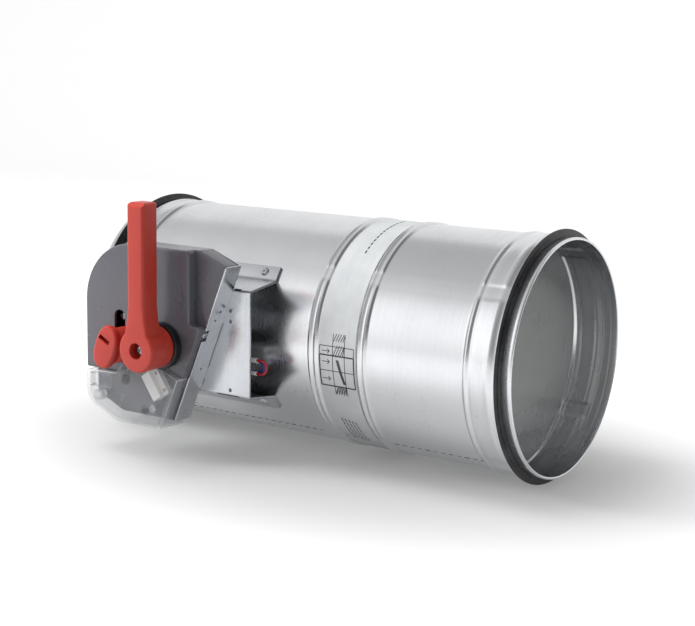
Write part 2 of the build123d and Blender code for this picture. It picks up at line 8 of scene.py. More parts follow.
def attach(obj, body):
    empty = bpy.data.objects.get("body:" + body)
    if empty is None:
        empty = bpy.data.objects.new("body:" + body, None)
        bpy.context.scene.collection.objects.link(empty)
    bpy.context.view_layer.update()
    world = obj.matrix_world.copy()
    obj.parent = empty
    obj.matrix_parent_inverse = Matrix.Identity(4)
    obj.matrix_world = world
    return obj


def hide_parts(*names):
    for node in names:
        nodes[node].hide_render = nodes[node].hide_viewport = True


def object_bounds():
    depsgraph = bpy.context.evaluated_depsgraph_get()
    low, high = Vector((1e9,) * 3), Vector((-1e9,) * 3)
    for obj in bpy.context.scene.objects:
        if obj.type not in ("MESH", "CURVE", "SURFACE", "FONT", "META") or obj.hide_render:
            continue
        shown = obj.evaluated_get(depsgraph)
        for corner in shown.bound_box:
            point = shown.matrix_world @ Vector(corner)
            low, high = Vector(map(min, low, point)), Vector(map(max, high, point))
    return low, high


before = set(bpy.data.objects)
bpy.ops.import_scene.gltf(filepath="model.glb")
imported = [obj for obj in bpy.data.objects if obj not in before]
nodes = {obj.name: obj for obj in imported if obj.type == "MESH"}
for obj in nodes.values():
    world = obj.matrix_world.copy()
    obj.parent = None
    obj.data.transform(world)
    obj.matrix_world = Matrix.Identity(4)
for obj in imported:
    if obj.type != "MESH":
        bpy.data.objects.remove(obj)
cad_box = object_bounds()

# Casing tube: one sheet of galvanised steel rolled to 159.4 mm and hemmed at both ends.
# Stop rings and the two wall beads are pressed out by an expander whose four jaws leave
# short flat gaps, and the sheet's edges meet in a lapped seam low on the front.
MM = 0.001
DUCT_R = 79.7
DUCT_L = 346.0
SHEET = 0.8
HEM = 1.8
BLADE_X = 217.1
BEAD_OFF = 19.4
JAW_GAPS = (38, 128, 218, 308)
JAW_HALF = 2.4
JAW_FADE = 2.6
JAW_LEFT = 0.4
SEAM_EDGE = -52.0
SEAM_LAP = 7.5
SEAM_RISE = 0.22
TURN_STEP = 1.5
HEM_POINTS = 8
RING_SHAPE = (
    (12.0, 0.0), (12.7, 0.1), (13.6, 0.42), (14.5, 0.88), (15.4, 1.22), (16.1, 1.38), (16.8, 1.4),
    (17.6, 1.28), (18.6, 1.02), (19.6, 0.92), (23.4, 0.92), (27.2, 0.9), (28.3, 0.74), (29.1, 0.5),
    (29.8, 0.42), (30.4, 0.66), (31.0, 1.1), (31.5, 1.36), (32.1, 1.38), (32.8, 1.05), (33.4, 0.45),
    (34.0, 0.02), (34.6, -0.1), (35.4, 0.0),
)
BEAD_SHAPE = (
    (-4.4, 0.0), (-3.9, 0.08), (-3.4, 0.45), (-2.9, 1.0), (-2.3, 1.2), (-1.7, 1.05), (-1.0, 0.62),
    (0.0, 0.5), (1.0, 0.62), (1.7, 1.05), (2.3, 1.2), (2.9, 1.0), (3.4, 0.45), (3.9, 0.08), (4.4, 0.0),
)
HEM_SHAPE = (
    (0.0, -0.9), (0.12, -0.45), (0.4, -0.14), (0.9, 0.0), (2.4, 0.0), (3.0, -0.3), (6.4, -0.3),
    (6.8, -0.45), (7.0, -0.7), (10.4, -0.7), (10.8, -0.6), (11.4, -0.1), (11.8, 0.0),
)


def linear(text):
    """An sRGB hex colour as the linear RGBA that sockets take."""
    parts = [int(text[i:i + 2], 16) / 255 for i in (1, 3, 5)]
    return (*[c / 12.92 if c <= 0.04045 else ((c + 0.055) / 1.055) ** 2.4 for c in parts], 1.0)


def add(tree, kind, settings, sockets):
    """Add one node with its settings; each socket takes a value or another node's output."""
    item = tree.nodes.new(kind)
    for key, value in settings.items():
        setattr(item, key, value)
    for key, value in sockets.items():
        if isinstance(value, bpy.types.NodeSocket):
            tree.links.new(value, item.inputs[key])
        else:
            item.inputs[key].default_value = value
    return item


def blank(name):
    """A new material and its empty tree."""
    made = bpy.data.materials.new(name)
    made.use_nodes = True
    made.node_tree.nodes.clear()
    return made, made.node_tree


def close_mesh(mesh, crease=32, weld=True):
    """Merge doubles, close pinholes, point the faces outwards and keep edges sharper than the crease."""
    work = bmesh.new()
    work.from_mesh(mesh)
    if weld:
        bmesh.ops.remove_doubles(work, verts=work.verts, dist=0.00001)
        bmesh.ops.dissolve_degenerate(work, edges=work.edges, dist=0.000005)
        rim = [edge for edge in work.edges if len(edge.link_faces) == 1]
        bmesh.ops.holes_fill(work, edges=rim, sides=6)
    bmesh.ops.recalc_face_normals(work, faces=work.faces)
    if work.calc_volume(signed=True) < 0:
        bmesh.ops.reverse_faces(work, faces=work.faces)
    work.to_mesh(mesh)
    work.free()
    mesh.shade_smooth()
    mesh.set_sharp_from_angle(angle=math.radians(crease))
    return mesh


def piece(name, mesh, material, body, slot, *stands_for):
    """A finished piece at the origin, riding on a body in place of CAD nodes."""
    mesh.name = name
    mesh.materials.clear()
    mesh.materials.append(material)
    made = bpy.data.objects.new(name, mesh)
    bpy.context.scene.collection.objects.link(made)
    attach(made, body)
    if stands_for:
        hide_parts(*stands_for)
    return made


def turned(outline, angles, rise_left, lap, whole=True):
    """Turn a closed outline of (x, radius, rise, lap share) about the duct axis, in millimetres."""
    points = []
    faces = []
    for degrees in angles:
        c, s = math.cos(math.radians(degrees)), math.sin(math.radians(degrees))
        for x, radius, rise, share in outline:
            r = (radius + rise * rise_left(degrees) + share * lap(degrees)) * MM
            points.append((x * MM, -r * c, r * s))
    count, turns = len(outline), len(angles)
    for i in range(turns if whole else turns - 1):
        j = (i + 1) % turns
        for k in range(count):
            m = (k + 1) % count
            faces.append((i * count + k, i * count + m, j * count + m, j * count + k))
    if not whole:
        faces.append(tuple(range(count)))
        faces.append(tuple((turns - 1) * count + k for k in range(count)))
    mesh = bpy.data.meshes.new("turned")
    mesh.from_pydata(points, [], faces)
    return close_mesh(mesh)


def jaw_rise(degrees):
    """The share of a pressed ring's height that stands, least in the middle of a jaw gap."""
    near = min(abs((degrees - gap + 180) % 360 - 180) for gap in JAW_GAPS)
    t = min(max((near - JAW_HALF) / JAW_FADE, 0.0), 1.0)
    return JAW_LEFT + (1 - JAW_LEFT) * t * t * (3 - 2 * t)


def seam_lap(degrees):
    """The top sheet's lift: a slow ramp that ends in a sharp edge."""
    back = (SEAM_EDGE - degrees + 180) % 360 - 180
    if back < 0 or back > SEAM_LAP:
        return 0.0
    return SEAM_RISE * (1 - back / SEAM_LAP)


TURNS = round(360 / TURN_STEP)
turn_angles = {round(a * TURN_STEP, 3) for a in range(TURNS)}
for gap in JAW_GAPS:
    turn_angles |= {round((gap + d * 0.45) % 360, 3) for d in range(-12, 13)}
turn_angles |= {round((SEAM_EDGE + d) % 360, 3) for d in (0.0, 0.3)}
turn_angles = sorted(turn_angles)
outside = [(d, DUCT_R + h, 0.0, 1.0 if d > 0.5 else 0.0) for d, h in HEM_SHAPE]
outside += [(d, DUCT_R, h, 1.0) for d, h in RING_SHAPE]
for side in (-1, 1):
    outside += [(BLADE_X + side * BEAD_OFF + d, DUCT_R, h, 1.0) for d, h in BEAD_SHAPE]
outside += [(DUCT_L - d, DUCT_R, h, 1.0) for d, h in reversed(RING_SHAPE)]
outside += [(DUCT_L - d, DUCT_R + h, 0.0, 1.0 if d > 0.5 else 0.0) for d, h in reversed(HEM_SHAPE)]
hem_r = DUCT_R - HEM
hem_inside = [(0.12, hem_r + 0.45), (0.4, hem_r + 0.14), (0.9, hem_r), (4.6, hem_r), (5.0, hem_r + 0.25)]
inside = [(d, r, 0.0, 0.0) for d, r in hem_inside]
inside += [(x, r - SHEET, h, 0.0) for x, r, h, _ in outside[HEM_POINTS:-HEM_POINTS]]
inside += [(DUCT_L - d, r, 0.0, 0.0) for d, r in reversed(hem_inside)]

# Hot-dip galvanised steel, skin-passed: a dull zinc grey that mirrors in broad soft bands,
# with faint rolling streaks round the tube and a spangle too weak to show as grains.
galvanised, tree = blank("galvanised_steel")
STREAK_MM = 1.4
STREAK_RUN_MM = 60.0
CLOUD_MM = 38.0
SPANGLE_MM = 7.0
place = add(tree, "ShaderNodeTexCoord", {}, {})
lanes = add(tree, "ShaderNodeMapping", {}, {
    "Vector": place.outputs["Object"],
    "Scale": (1 / (STREAK_MM * MM), 1 / (STREAK_RUN_MM * MM), 1 / (STREAK_RUN_MM * MM)),
})
streak = add(tree, "ShaderNodeTexNoise", {}, {"Vector": lanes.outputs[0], "Scale": 1.0, "Detail": 3.0})
cloud = add(tree, "ShaderNodeTexNoise", {}, {
    "Vector": place.outputs["Object"], "Scale": 1 / (CLOUD_MM * MM), "Detail": 4.0, "Roughness": 0.6,
})
spangle = add(tree, "ShaderNodeTexVoronoi", {}, {
    "Vector": place.outputs["Object"], "Scale": 1 / (SPANGLE_MM * MM), "Randomness": 1.0,
})
grain = add(tree, "ShaderNodeSeparateColor", {}, {"Color": spangle.outputs["Color"]})
tone = add(tree, "ShaderNodeMath", {"operation": "MULTIPLY_ADD"}, {
    0: streak.outputs[0], 1: 0.5, 2: cloud.outputs[0],
})
tone = add(tree, "ShaderNodeMath", {"operation": "MULTIPLY_ADD"}, {
    0: grain.outputs[0], 1: 0.05, 2: tone.outputs[0],
})
shade = add(tree, "ShaderNodeMapRange", {}, {
    "Value": tone.outputs[0], "From Min": 0.5, "From Max": 1.2, "To Min": 0.0, "To Max": 1.0,
})
zinc = add(tree, "ShaderNodeMix", {"data_type": "RGBA"}, {
    "Factor": shade.outputs[0], 6: linear("#D8DADD"), 7: linear("#E1E3E5"),
})
gloss = add(tree, "ShaderNodeMapRange", {}, {
    "Value": tone.outputs[0], "From Min": 0.5, "From Max": 1.2, "To Min": 0.29, "To Max": 0.22,
})
relief = add(tree, "ShaderNodeBump", {}, {
    "Height": streak.outputs[0], "Strength": 0.03, "Distance": 0.0001,
})
surface = add(tree, "ShaderNodeBsdfPrincipled", {}, {
    "Base Color": zinc.outputs[2], "Roughness": gloss.outputs[0], "Metallic": 1.0,
    "Normal": relief.outputs[0],
})
add(tree, "ShaderNodeOutputMaterial", {}, {"Surface": surface.outputs[0]})

casing = turned(outside + inside[::-1], turn_angles, jaw_rise, seam_lap)
piece("casing_tube", casing, galvanised, "casing", "galvanised_sheet", "duct_casing")

# Seam stitches: clinch marks that lock the lapped seam, pressed every 6 mm by a toothed wheel.
# They break off at the wall beads and the stop rings, where the expander has flattened them.
STITCH_PITCH = 6.0
STITCH_SIZE = (5.0, 0.34, 1.0)
STITCH_BACK = 1.2


def mottled(name, patch_mm, detail, dark, light, sockets):
    """A material whose colour drifts between two tones in patches of a real size."""
    made, tree = blank(name)
    place = add(tree, "ShaderNodeTexCoord", {}, {})
    patches = add(tree, "ShaderNodeTexNoise", {}, {
        "Vector": place.outputs["Object"], "Scale": 1 / (patch_mm * MM), "Detail": detail,
    })
    colour = add(tree, "ShaderNodeMix", {"data_type": "RGBA"}, {
        "Factor": patches.outputs[0], 6: linear(dark), 7: linear(light),
    })
    surface = add(tree, "ShaderNodeBsdfPrincipled", {}, {"Base Color": colour.outputs[2], **sockets})
    add(tree, "ShaderNodeOutputMaterial", {}, {"Surface": surface.outputs[0]})
    return made


# Burnished steel: the wheel rubs the zinc off and leaves dark, patchy, half dull dashes.
stitch_steel = mottled(
    "burnished_clinch_marks", patch_mm=1.667, detail=2.0, dark="#141416", light="#3A3B3E",
    sockets={"Metallic": 0.8, "Roughness": 0.5},
)


def group_input(group, modifier, label, value):
    """Set a modifier's input by its socket's identifier."""
    for item in group.interface.items_tree:
        if item.name == label and item.in_out == "INPUT":
            modifier[item.identifier] = value


stitches = bpy.data.node_groups.new("seam_stitches", "GeometryNodeTree")
stitches.interface.new_socket("Geometry", in_out="OUTPUT", socket_type="NodeSocketGeometry")
for label in ("Start", "Pitch", "Radius", "Angle", "Length", "Width", "Height"):
    stitches.interface.new_socket(label, in_out="INPUT", socket_type="NodeSocketFloat")
stitches.interface.new_socket("Count", in_out="INPUT", socket_type="NodeSocketInt")
stitches.interface.new_socket("Finish", in_out="INPUT", socket_type="NodeSocketMaterial")
given = add(stitches, "NodeGroupInput", {}, {}).outputs
mark = add(stitches, "GeometryNodeMeshUVSphere", {}, {"Segments": 10, "Rings": 5, "Radius": 0.5})
mark_size = add(stitches, "ShaderNodeCombineXYZ", {}, {
    "X": given["Length"], "Y": given["Height"], "Z": given["Width"],
})
mark = add(stitches, "GeometryNodeTransform", {}, {
    "Geometry": mark.outputs[0], "Scale": mark_size.outputs[0],
})
depth = add(stitches, "ShaderNodeMath", {"operation": "MULTIPLY"}, {0: given["Radius"], 1: -1.0})
first = add(stitches, "ShaderNodeCombineXYZ", {}, {"X": given["Start"], "Y": depth.outputs[0]})
apart = add(stitches, "ShaderNodeCombineXYZ", {}, {"X": given["Pitch"]})
row = add(stitches, "GeometryNodeMeshLine", {"mode": "OFFSET"}, {
    "Count": given["Count"], "Start Location": first.outputs[0], "Offset": apart.outputs[0],
})
size_draw = add(stitches, "FunctionNodeRandomValue", {"data_type": "FLOAT"}, {2: 0.75, 3: 1.15, "Seed": 7})
laid = add(stitches, "GeometryNodeInstanceOnPoints", {}, {
    "Points": row.outputs[0], "Instance": mark.outputs[0], "Scale": size_draw.outputs[1],
})
spin = add(stitches, "ShaderNodeCombineXYZ", {}, {"X": given["Angle"]})
laid = add(stitches, "GeometryNodeTransform", {}, {
    "Geometry": laid.outputs[0], "Rotation": spin.outputs[0],
})
solid = add(stitches, "GeometryNodeRealizeInstances", {}, {"Geometry": laid.outputs[0]})
solid = add(stitches, "GeometryNodeSetMaterial", {}, {
    "Geometry": solid.outputs[0], "Material": given["Finish"],
})
add(stitches, "NodeGroupOutput", {}, {0: solid.outputs[0]})


def grown(group, inputs, base=None):
    """Run a node tree with its inputs and return the result as a plain mesh."""
    holder = bpy.data.objects.new("grower", base or bpy.data.meshes.new("seed"))
    bpy.context.scene.collection.objects.link(holder)
    modifier = holder.modifiers.new("grow", "NODES")
    modifier.node_group = group
    for label, value in inputs.items():
        group_input(group, modifier, label, value)
    depsgraph = bpy.context.evaluated_depsgraph_get()
    mesh = bpy.data.meshes.new_from_object(holder.evaluated_get(depsgraph))
    bpy.data.objects.remove(holder)
    return mesh


seam_rows = ((34.0, 26), (206.0, 4), (246.0, 12))
for number, (start, count) in enumerate(seam_rows):
    mesh = grown(stitches, {
        "Start": start * MM, "Pitch": STITCH_PITCH * MM, "Radius": (DUCT_R + SEAM_RISE * 0.75) * MM,
        "Angle": math.radians(STITCH_BACK - SEAM_EDGE), "Length": STITCH_SIZE[0] * MM,
        "Height": STITCH_SIZE[1] * MM, "Width": STITCH_SIZE[2] * MM, "Count": count, "Finish": stitch_steel,
    })
    mesh.shade_smooth()
    piece(f"seam_stitches_{number}", mesh, stitch_steel, "casing", "galvanised_sheet")

# Lip gaskets: black EPDM rings seated behind each hem, with one tall lip that bends back
# in the mating duct and a low guard lip in front of it. Handling leaves them slightly grey.
LIP_SHAPE = (
    (7.2, -0.7), (10.2, -0.7), (10.3, 0.6), (10.15, 1.3), (9.9, 1.7), (9.7, 2.6), (9.6, 3.8),
    (9.5, 4.6), (9.3, 4.88), (9.0, 4.9), (8.75, 4.7), (8.55, 4.1), (8.35, 3.0), (8.15, 2.3),
    (7.95, 2.05), (7.8, 2.2), (7.65, 2.3), (7.45, 2.2), (7.3, 1.8), (7.2, 1.2), (7.15, 0.5),
)
# EPDM rubber, extruded: near black and half matt, with fine pores and a grey bloom of dust.
epdm, tree = blank("epdm_rubber")
DUST_MM = 9.0
PORE_MM = 0.7
place = add(tree, "ShaderNodeTexCoord", {}, {})
dust = add(tree, "ShaderNodeTexNoise", {}, {
    "Vector": place.outputs["Object"], "Scale": 1 / (DUST_MM * MM), "Detail": 5.0, "Roughness": 0.65,
})
pores = add(tree, "ShaderNodeTexNoise", {}, {
    "Vector": place.outputs["Object"], "Scale": 1 / (PORE_MM * MM),
})
film_of_dust = add(tree, "ShaderNodeMapRange", {}, {
    "Value": dust.outputs[0], "From Min": 0.42, "From Max": 0.75,
})
black = add(tree, "ShaderNodeMix", {"data_type": "RGBA"}, {
    "Factor": film_of_dust.outputs[0], 6: linear("#19191B"), 7: linear("#3C3C3E"),
})
relief = add(tree, "ShaderNodeBump", {}, {"Height": pores.outputs[0], "Strength": 0.25, "Distance": 0.0001})
surface = add(tree, "ShaderNodeBsdfPrincipled", {}, {
    "Base Color": black.outputs[2], "Roughness": 0.46, "IOR": 1.5, "Normal": relief.outputs[0],
})
add(tree, "ShaderNodeOutputMaterial", {}, {"Surface": surface.outputs[0]})
ring_angles = [a * TURN_STEP for a in range(TURNS)]
for name, node, end, way in (
    ("inlet_lip_ring", "inlet_gasket", 0.0, 1),
    ("outlet_lip_ring", "outlet_gasket", DUCT_L, -1),
):
    outline = [(end + way * d, DUCT_R + h, 0.0, 0.0) for d, h in LIP_SHAPE]
    mesh = turned(outline, ring_angles, lambda a: 0.0, lambda a: 0.0)
    piece(name, mesh, epdm, "casing", "gasket_rubber", node)

# Wall band: a pale polyester film stuck round the tube between the beads, where the wall goes.
# It lies flat but for a few soft ripples, and carries a plain line drawing of a wall section.
BAND_HALF = 14.8
BAND_BASE = 79.8
BAND_TOP = 79.95
BAND_FROM = -165.0
BAND_TURN = 330.0
BAND_PARTS = 260
RIPPLE = 0.05
# Polyester film with a silvered back: pale grey and satin, drawn in faint lanes round the tube,
# with soft smudges where it has been pressed down.
film, tree = blank("polyester_film")
FILM_STREAK_MM = 0.9
FILM_RUN_MM = 33.333
SMUDGE_MM = 18.182
place = add(tree, "ShaderNodeTexCoord", {}, {})
lanes = add(tree, "ShaderNodeMapping", {}, {
    "Vector": place.outputs["Object"],
    "Scale": (1 / (FILM_STREAK_MM * MM), 1 / (FILM_RUN_MM * MM), 1 / (FILM_RUN_MM * MM)),
})
drag = add(tree, "ShaderNodeTexNoise", {}, {"Vector": lanes.outputs[0], "Scale": 1.0, "Detail": 2.0})
smudge = add(tree, "ShaderNodeTexNoise", {}, {
    "Vector": place.outputs["Object"], "Scale": 1 / (SMUDGE_MM * MM), "Detail": 5.0,
})
mottle = add(tree, "ShaderNodeMath", {"operation": "MULTIPLY_ADD"}, {
    0: drag.outputs[0], 1: 0.5, 2: smudge.outputs[0],
})
level = add(tree, "ShaderNodeMapRange", {}, {"Value": mottle.outputs[0], "From Min": 0.5, "From Max": 1.0})
pale = add(tree, "ShaderNodeMix", {"data_type": "RGBA"}, {
    "Factor": level.outputs[0], 6: linear("#C6C9CB"), 7: linear("#D6D9DA"),
})
relief = add(tree, "ShaderNodeBump", {}, {
    "Height": smudge.outputs[0], "Strength": 0.22, "Distance": 0.0006,
})
surface = add(tree, "ShaderNodeBsdfPrincipled", {}, {
    "Base Color": pale.outputs[2], "Metallic": 0.25, "Roughness": 0.45, "Normal": relief.outputs[0],
})
add(tree, "ShaderNodeOutputMaterial", {}, {"Surface": surface.outputs[0]})
band_outline = []
for step in range(9):
    x = BLADE_X - BAND_HALF + BAND_HALF * step / 4
    band_outline.append((x, BAND_TOP, RIPPLE * math.sin(step * 2.1), 0.0))
band_outline += [(BLADE_X + BAND_HALF, BAND_BASE, 0.0, 0.0), (BLADE_X - BAND_HALF, BAND_BASE, 0.0, 0.0)]
band_angles = [BAND_FROM + BAND_TURN * k / BAND_PARTS for k in range(BAND_PARTS + 1)]
mesh = turned(
    band_outline, band_angles, lambda a: math.sin(a * 0.31) * math.sin(a * 0.083), lambda a: 0.0, False,
)
piece("position_band", mesh, film, "casing", "band_film", "wall_band")

# Printed drawing on the band: ink lines of a tube in a hatched wall with flow arrows,
# a dashed line over the top that marks the blade's plane, and short ruled strokes low down.
INK_LIFT = 0.03
INK_THICK = 0.05
BOLD_W = 0.95
FINE_W = 0.5
DASH_W = 1.1
RULE_W = 0.75
# Printing ink: flat black that thins to grey in specks where the film shows through.
ink = mottled(
    "printing_ink", patch_mm=1.111, detail=2.0, dark="#17181A", light="#4A4C50",
    sockets={"Roughness": 0.5},
)


def ink_strokes(strokes, width):
    """Lines of ink from (x, degrees) to (x, degrees) on the band, as thin closed strips."""
    points = []
    faces = []
    low, high = BAND_TOP + INK_LIFT, BAND_TOP + INK_LIFT + INK_THICK
    per_degree = math.radians(1) * high
    for (x0, a0), (x1, a1) in strokes:
        along = Vector((x1 - x0, (a1 - a0) * per_degree))
        across = Vector((-along.y, along.x)).normalized() * width / 2
        parts = max(1, math.ceil(abs(a1 - a0) / 2))
        base = len(points)
        for k in range(parts + 1):
            x = x0 + (x1 - x0) * k / parts
            a = a0 + (a1 - a0) * k / parts
            for sign, r in ((-1, low), (1, low), (1, high), (-1, high)):
                turn = math.radians(a + sign * across.y / per_degree)
                y, z = -r * math.cos(turn), r * math.sin(turn)
                points.append(((x + sign * across.x) * MM, y * MM, z * MM))
        for k in range(parts):
            for c in range(4):
                d = (c + 1) % 4
                start = base + 4 * k
                faces.append((start + c, start + d, start + 4 + d, start + 4 + c))
        faces.append((base, base + 1, base + 2, base + 3))
        faces.append(tuple(base + 4 * parts + c for c in range(4)))
    mesh = bpy.data.meshes.new("ink")
    mesh.from_pydata(points, [], faces)
    return mesh


draw_x = (203.6, 214.0, 223.4, 230.6)
draw_a = (2.8, -1.6, -17.0)
lines = [
    ((draw_x[0], draw_a[1]), (draw_x[3], draw_a[1])), ((draw_x[0], draw_a[2]), (draw_x[3], draw_a[2])),
    ((draw_x[0], draw_a[1]), (draw_x[0], draw_a[2])), ((draw_x[3], draw_a[1]), (draw_x[3], draw_a[2])),
    ((draw_x[1] + 3, -3.5), (draw_x[2] - 1.5, -15.5)), ((draw_x[1] + 4.2, -3.5), (draw_x[2] - 0.5, -15.5)),
]
thin = [
    ((draw_x[0], draw_a[0]), (draw_x[3], draw_a[0])), ((draw_x[0], draw_a[0]), (draw_x[0], draw_a[1])),
    ((draw_x[3], draw_a[0]), (draw_x[3], draw_a[1])), ((draw_x[0], -9.2), (draw_x[3], -9.2)),
    ((draw_x[1], 9.0), (draw_x[1], -21.5)), ((draw_x[2], 9.0), (draw_x[2], -21.5)),
]
for row in (0.4, -4.8, -13.2):
    tip = (211.6, row)
    thin += [((205.4, row), tip), ((209.8, row + 1.1), tip), ((209.8, row - 1.1), tip)]
for top, bottom in ((9.0, draw_a[1]), (draw_a[2], -21.5)):
    for k in range(5):
        x = draw_x[1] + 0.4 + k * 1.9
        thin.append(((x, bottom), (min(x + 3.4, draw_x[2]), min(top, bottom + 5.2))))
        thin.append(((x, top - 3.6), (min(x + 2.4, draw_x[2]), top)))
dashes = [((218.0, 52.0 + k * 3.0), (218.0, 53.9 + k * 3.0)) for k in range(13)]
ruled = []
for k in range(5):
    x = 211.5 + k * 2.6
    ruled += [((x, -36.5 - j * 3.1 - k * 0.5), (x, -38.9 - j * 3.1 - k * 0.5)) for j in range(6)]
for name, strokes, width in (
    ("band_drawing_bold", lines, BOLD_W), ("band_drawing_fine", thin, FINE_W),
    ("band_dashes", dashes, DASH_W), ("band_ruling", ruled, RULE_W),
):
    mesh = close_mesh(ink_strokes(strokes, width), weld=False)
    piece(name, mesh, ink, "casing", "band_film")

# Hat bracket: 1.5 mm galvanised sheet folded to a hat that stands the mechanism off the tube.
# Its feet follow the casing and are riveted on; holes, a slot and corner reliefs are punched.
PLATE_Y = -98.5
PLATE_T = 1.5
PLATE_HALF = 37.0
BRACKET_X = (36.0, 159.6)
FOOT = (29.4, 37.6)
FOOT_BEND = 0.9
PUNCH = (90, 104)


def rounded(corners, radius, steps=5):
    """Round a closed loop's corners; radius is one number, or one for each corner."""
    loop = []
    for i, here in enumerate(corners):
        r = radius[i] if isinstance(radius, (list, tuple)) else radius
        here = Vector(here)
        a = Vector(corners[i - 1]) - here
        b = Vector(corners[(i + 1) % len(corners)]) - here
        half = a.angle(b) / 2
        if r <= 0 or half > 1.55:
            loop.append(tuple(here))
            continue
        reach = min(r / math.tan(half), 0.48 * min(a.length, b.length))
        r = reach * math.tan(half)
        centre = here + (a.normalized() + b.normalized()).normalized() * (r / math.sin(half))
        s = here + a.normalized() * reach - centre
        e = here + b.normalized() * reach - centre
        from_a = math.atan2(s.y, s.x)
        sweep = (math.atan2(e.y, e.x) - from_a + math.pi) % (2 * math.pi) - math.pi
        for k in range(steps + 1):
            turn = from_a + sweep * k / steps
            loop.append((centre.x + r * math.cos(turn), centre.y + r * math.sin(turn)))
    return loop


def circle(x, z, r, count=40):
    """A closed loop of points round (x, z)."""
    turns = [2 * math.pi * k / count for k in range(count)]
    return [(x + r * math.cos(turn), z + r * math.sin(turn)) for turn in turns]


FACING_FRONT = Matrix.Rotation(math.pi / 2, 4, "X")
FACING_OUTLET = Matrix(((0, 0, 1, 0), (1, 0, 0, 0), (0, 1, 0, 0), (0, 0, 0, 1)))


def plate(loops, low, high, edge=0.0, frame_of=FACING_FRONT, segments=3):
    """A flat piece cut to closed loops, the first its outline and the rest holes, with eased edges.

    low and high are its two faces along the loop plane's normal, in millimetres.
    """
    curve = bpy.data.curves.new("cut", "CURVE")
    curve.dimensions = "2D"
    curve.fill_mode = "BOTH"
    curve.extrude = (high - low) / 2 - edge
    curve.bevel_depth = edge
    curve.bevel_resolution = segments
    curve.offset = -edge
    for loop in loops:
        spline = curve.splines.new("POLY")
        spline.points.add(len(loop) - 1)
        for point, (u, v) in zip(spline.points, loop):
            point.co = (u, v, 0.0, 1.0)
        spline.use_cyclic_u = True
    holder = bpy.data.objects.new("cut", curve)
    bpy.context.scene.collection.objects.link(holder)
    depsgraph = bpy.context.evaluated_depsgraph_get()
    mesh = bpy.data.meshes.new_from_object(holder.evaluated_get(depsgraph))
    bpy.data.objects.remove(holder)
    mesh.transform(frame_of @ Matrix.Scale(MM, 4) @ Matrix.Translation((0, 0, (low + high) / 2)))
    return close_mesh(mesh)


def shaped(mesh, *steps):
    """Cut tools out of a mesh or join them to it, each step ("DIFFERENCE" or "UNION", tool)."""
    holder = bpy.data.objects.new("work", mesh)
    bpy.context.scene.collection.objects.link(holder)
    tools = []
    for operation, tool in steps:
        helper = bpy.data.objects.new("tool", tool)
        bpy.context.scene.collection.objects.link(helper)
        modifier = holder.modifiers.new("shape", "BOOLEAN")
        modifier.operation = operation
        modifier.solver = "EXACT"
        modifier.object = helper
        tools.append(helper)
    depsgraph = bpy.context.evaluated_depsgraph_get()
    result = bpy.data.meshes.new_from_object(holder.evaluated_get(depsgraph))
    for helper in tools + [holder]:
        bpy.data.objects.remove(helper)
    return close_mesh(result)


def polar(radius, degrees):
    """A point of the tube's cross section as (y, z), degrees up from the front."""
    turn = math.radians(degrees)
    return (-radius * math.cos(turn), radius * math.sin(turn))


foot_r = DUCT_R + PLATE_T
upper_out = [(PLATE_Y, PLATE_HALF), polar(foot_r, FOOT[0] + FOOT_BEND)]
upper_in = [polar(DUCT_R, FOOT[0]), (PLATE_Y + PLATE_T, PLATE_HALF - PLATE_T)]
arc = [FOOT[0] + FOOT_BEND + (FOOT[1] - FOOT[0] - FOOT_BEND) * k / 6 for k in range(1, 7)]
top_half = upper_out + [polar(foot_r, a) for a in arc] + [polar(DUCT_R, a) for a in arc[::-1]] + upper_in
hat = top_half + [(y, -z) for y, z in reversed(top_half)]
bends = [2.3, 1.6] + [0] * 12 + [1.0, 0.9]
hat = rounded(hat, bends + bends[::-1])
# The same galvanised steel from a duller coil: a shade darker than the tube, with the same streaks.
dull_zinc = galvanised.copy()
dull_zinc.name = "galvanised_steel_dull"
for item in dull_zinc.node_tree.nodes:
    if item.bl_idname == "ShaderNodeMix":
        item.inputs[6].default_value = linear("#BCBFC3")
        item.inputs[7].default_value = linear("#CACCD0")
bracket = plate([hat], BRACKET_X[0], BRACKET_X[1], 0.18, FACING_OUTLET)
punched = []
for x, z, r in (
    (143.1, 22.1, 1.3), (143.1, 14.9, 1.3), (143.1, -32.5, 1.3), (139.6, 24.6, 0.9), (137.0, 21.0, 1.1),
):
    punched.append(plate([circle(x, z, r, 20)], *PUNCH))
slot_at = rounded([(131.5, -36.65), (150.5, -36.65), (150.5, -35.85), (131.5, -35.85)], 0.3)
punched.append(plate([slot_at], *PUNCH))
for x0, x1, z0, z1 in ((145.5, 151.5, 36.3, 37.3), (116.0, 121.5, -37.6, -36.4)):
    punched.append(plate([[(x0, z0), (x1, z0), (x1, z1), (x0, z1)]], *PUNCH))
bracket = shaped(bracket, *[("DIFFERENCE", tool) for tool in punched])
piece("bracket_sheet", bracket, dull_zinc, "casing", "galvanised_sheet", "hat_bracket")

# Bracket rivets: blind rivets with domed heads, two through each foot into the casing.
# Their mandrels snap off below the dome and leave a small dark hole in the middle.
RIVET_ANGLE = 34.3
RIVET_IN = 11.5
SCUFF_MM = 1.429
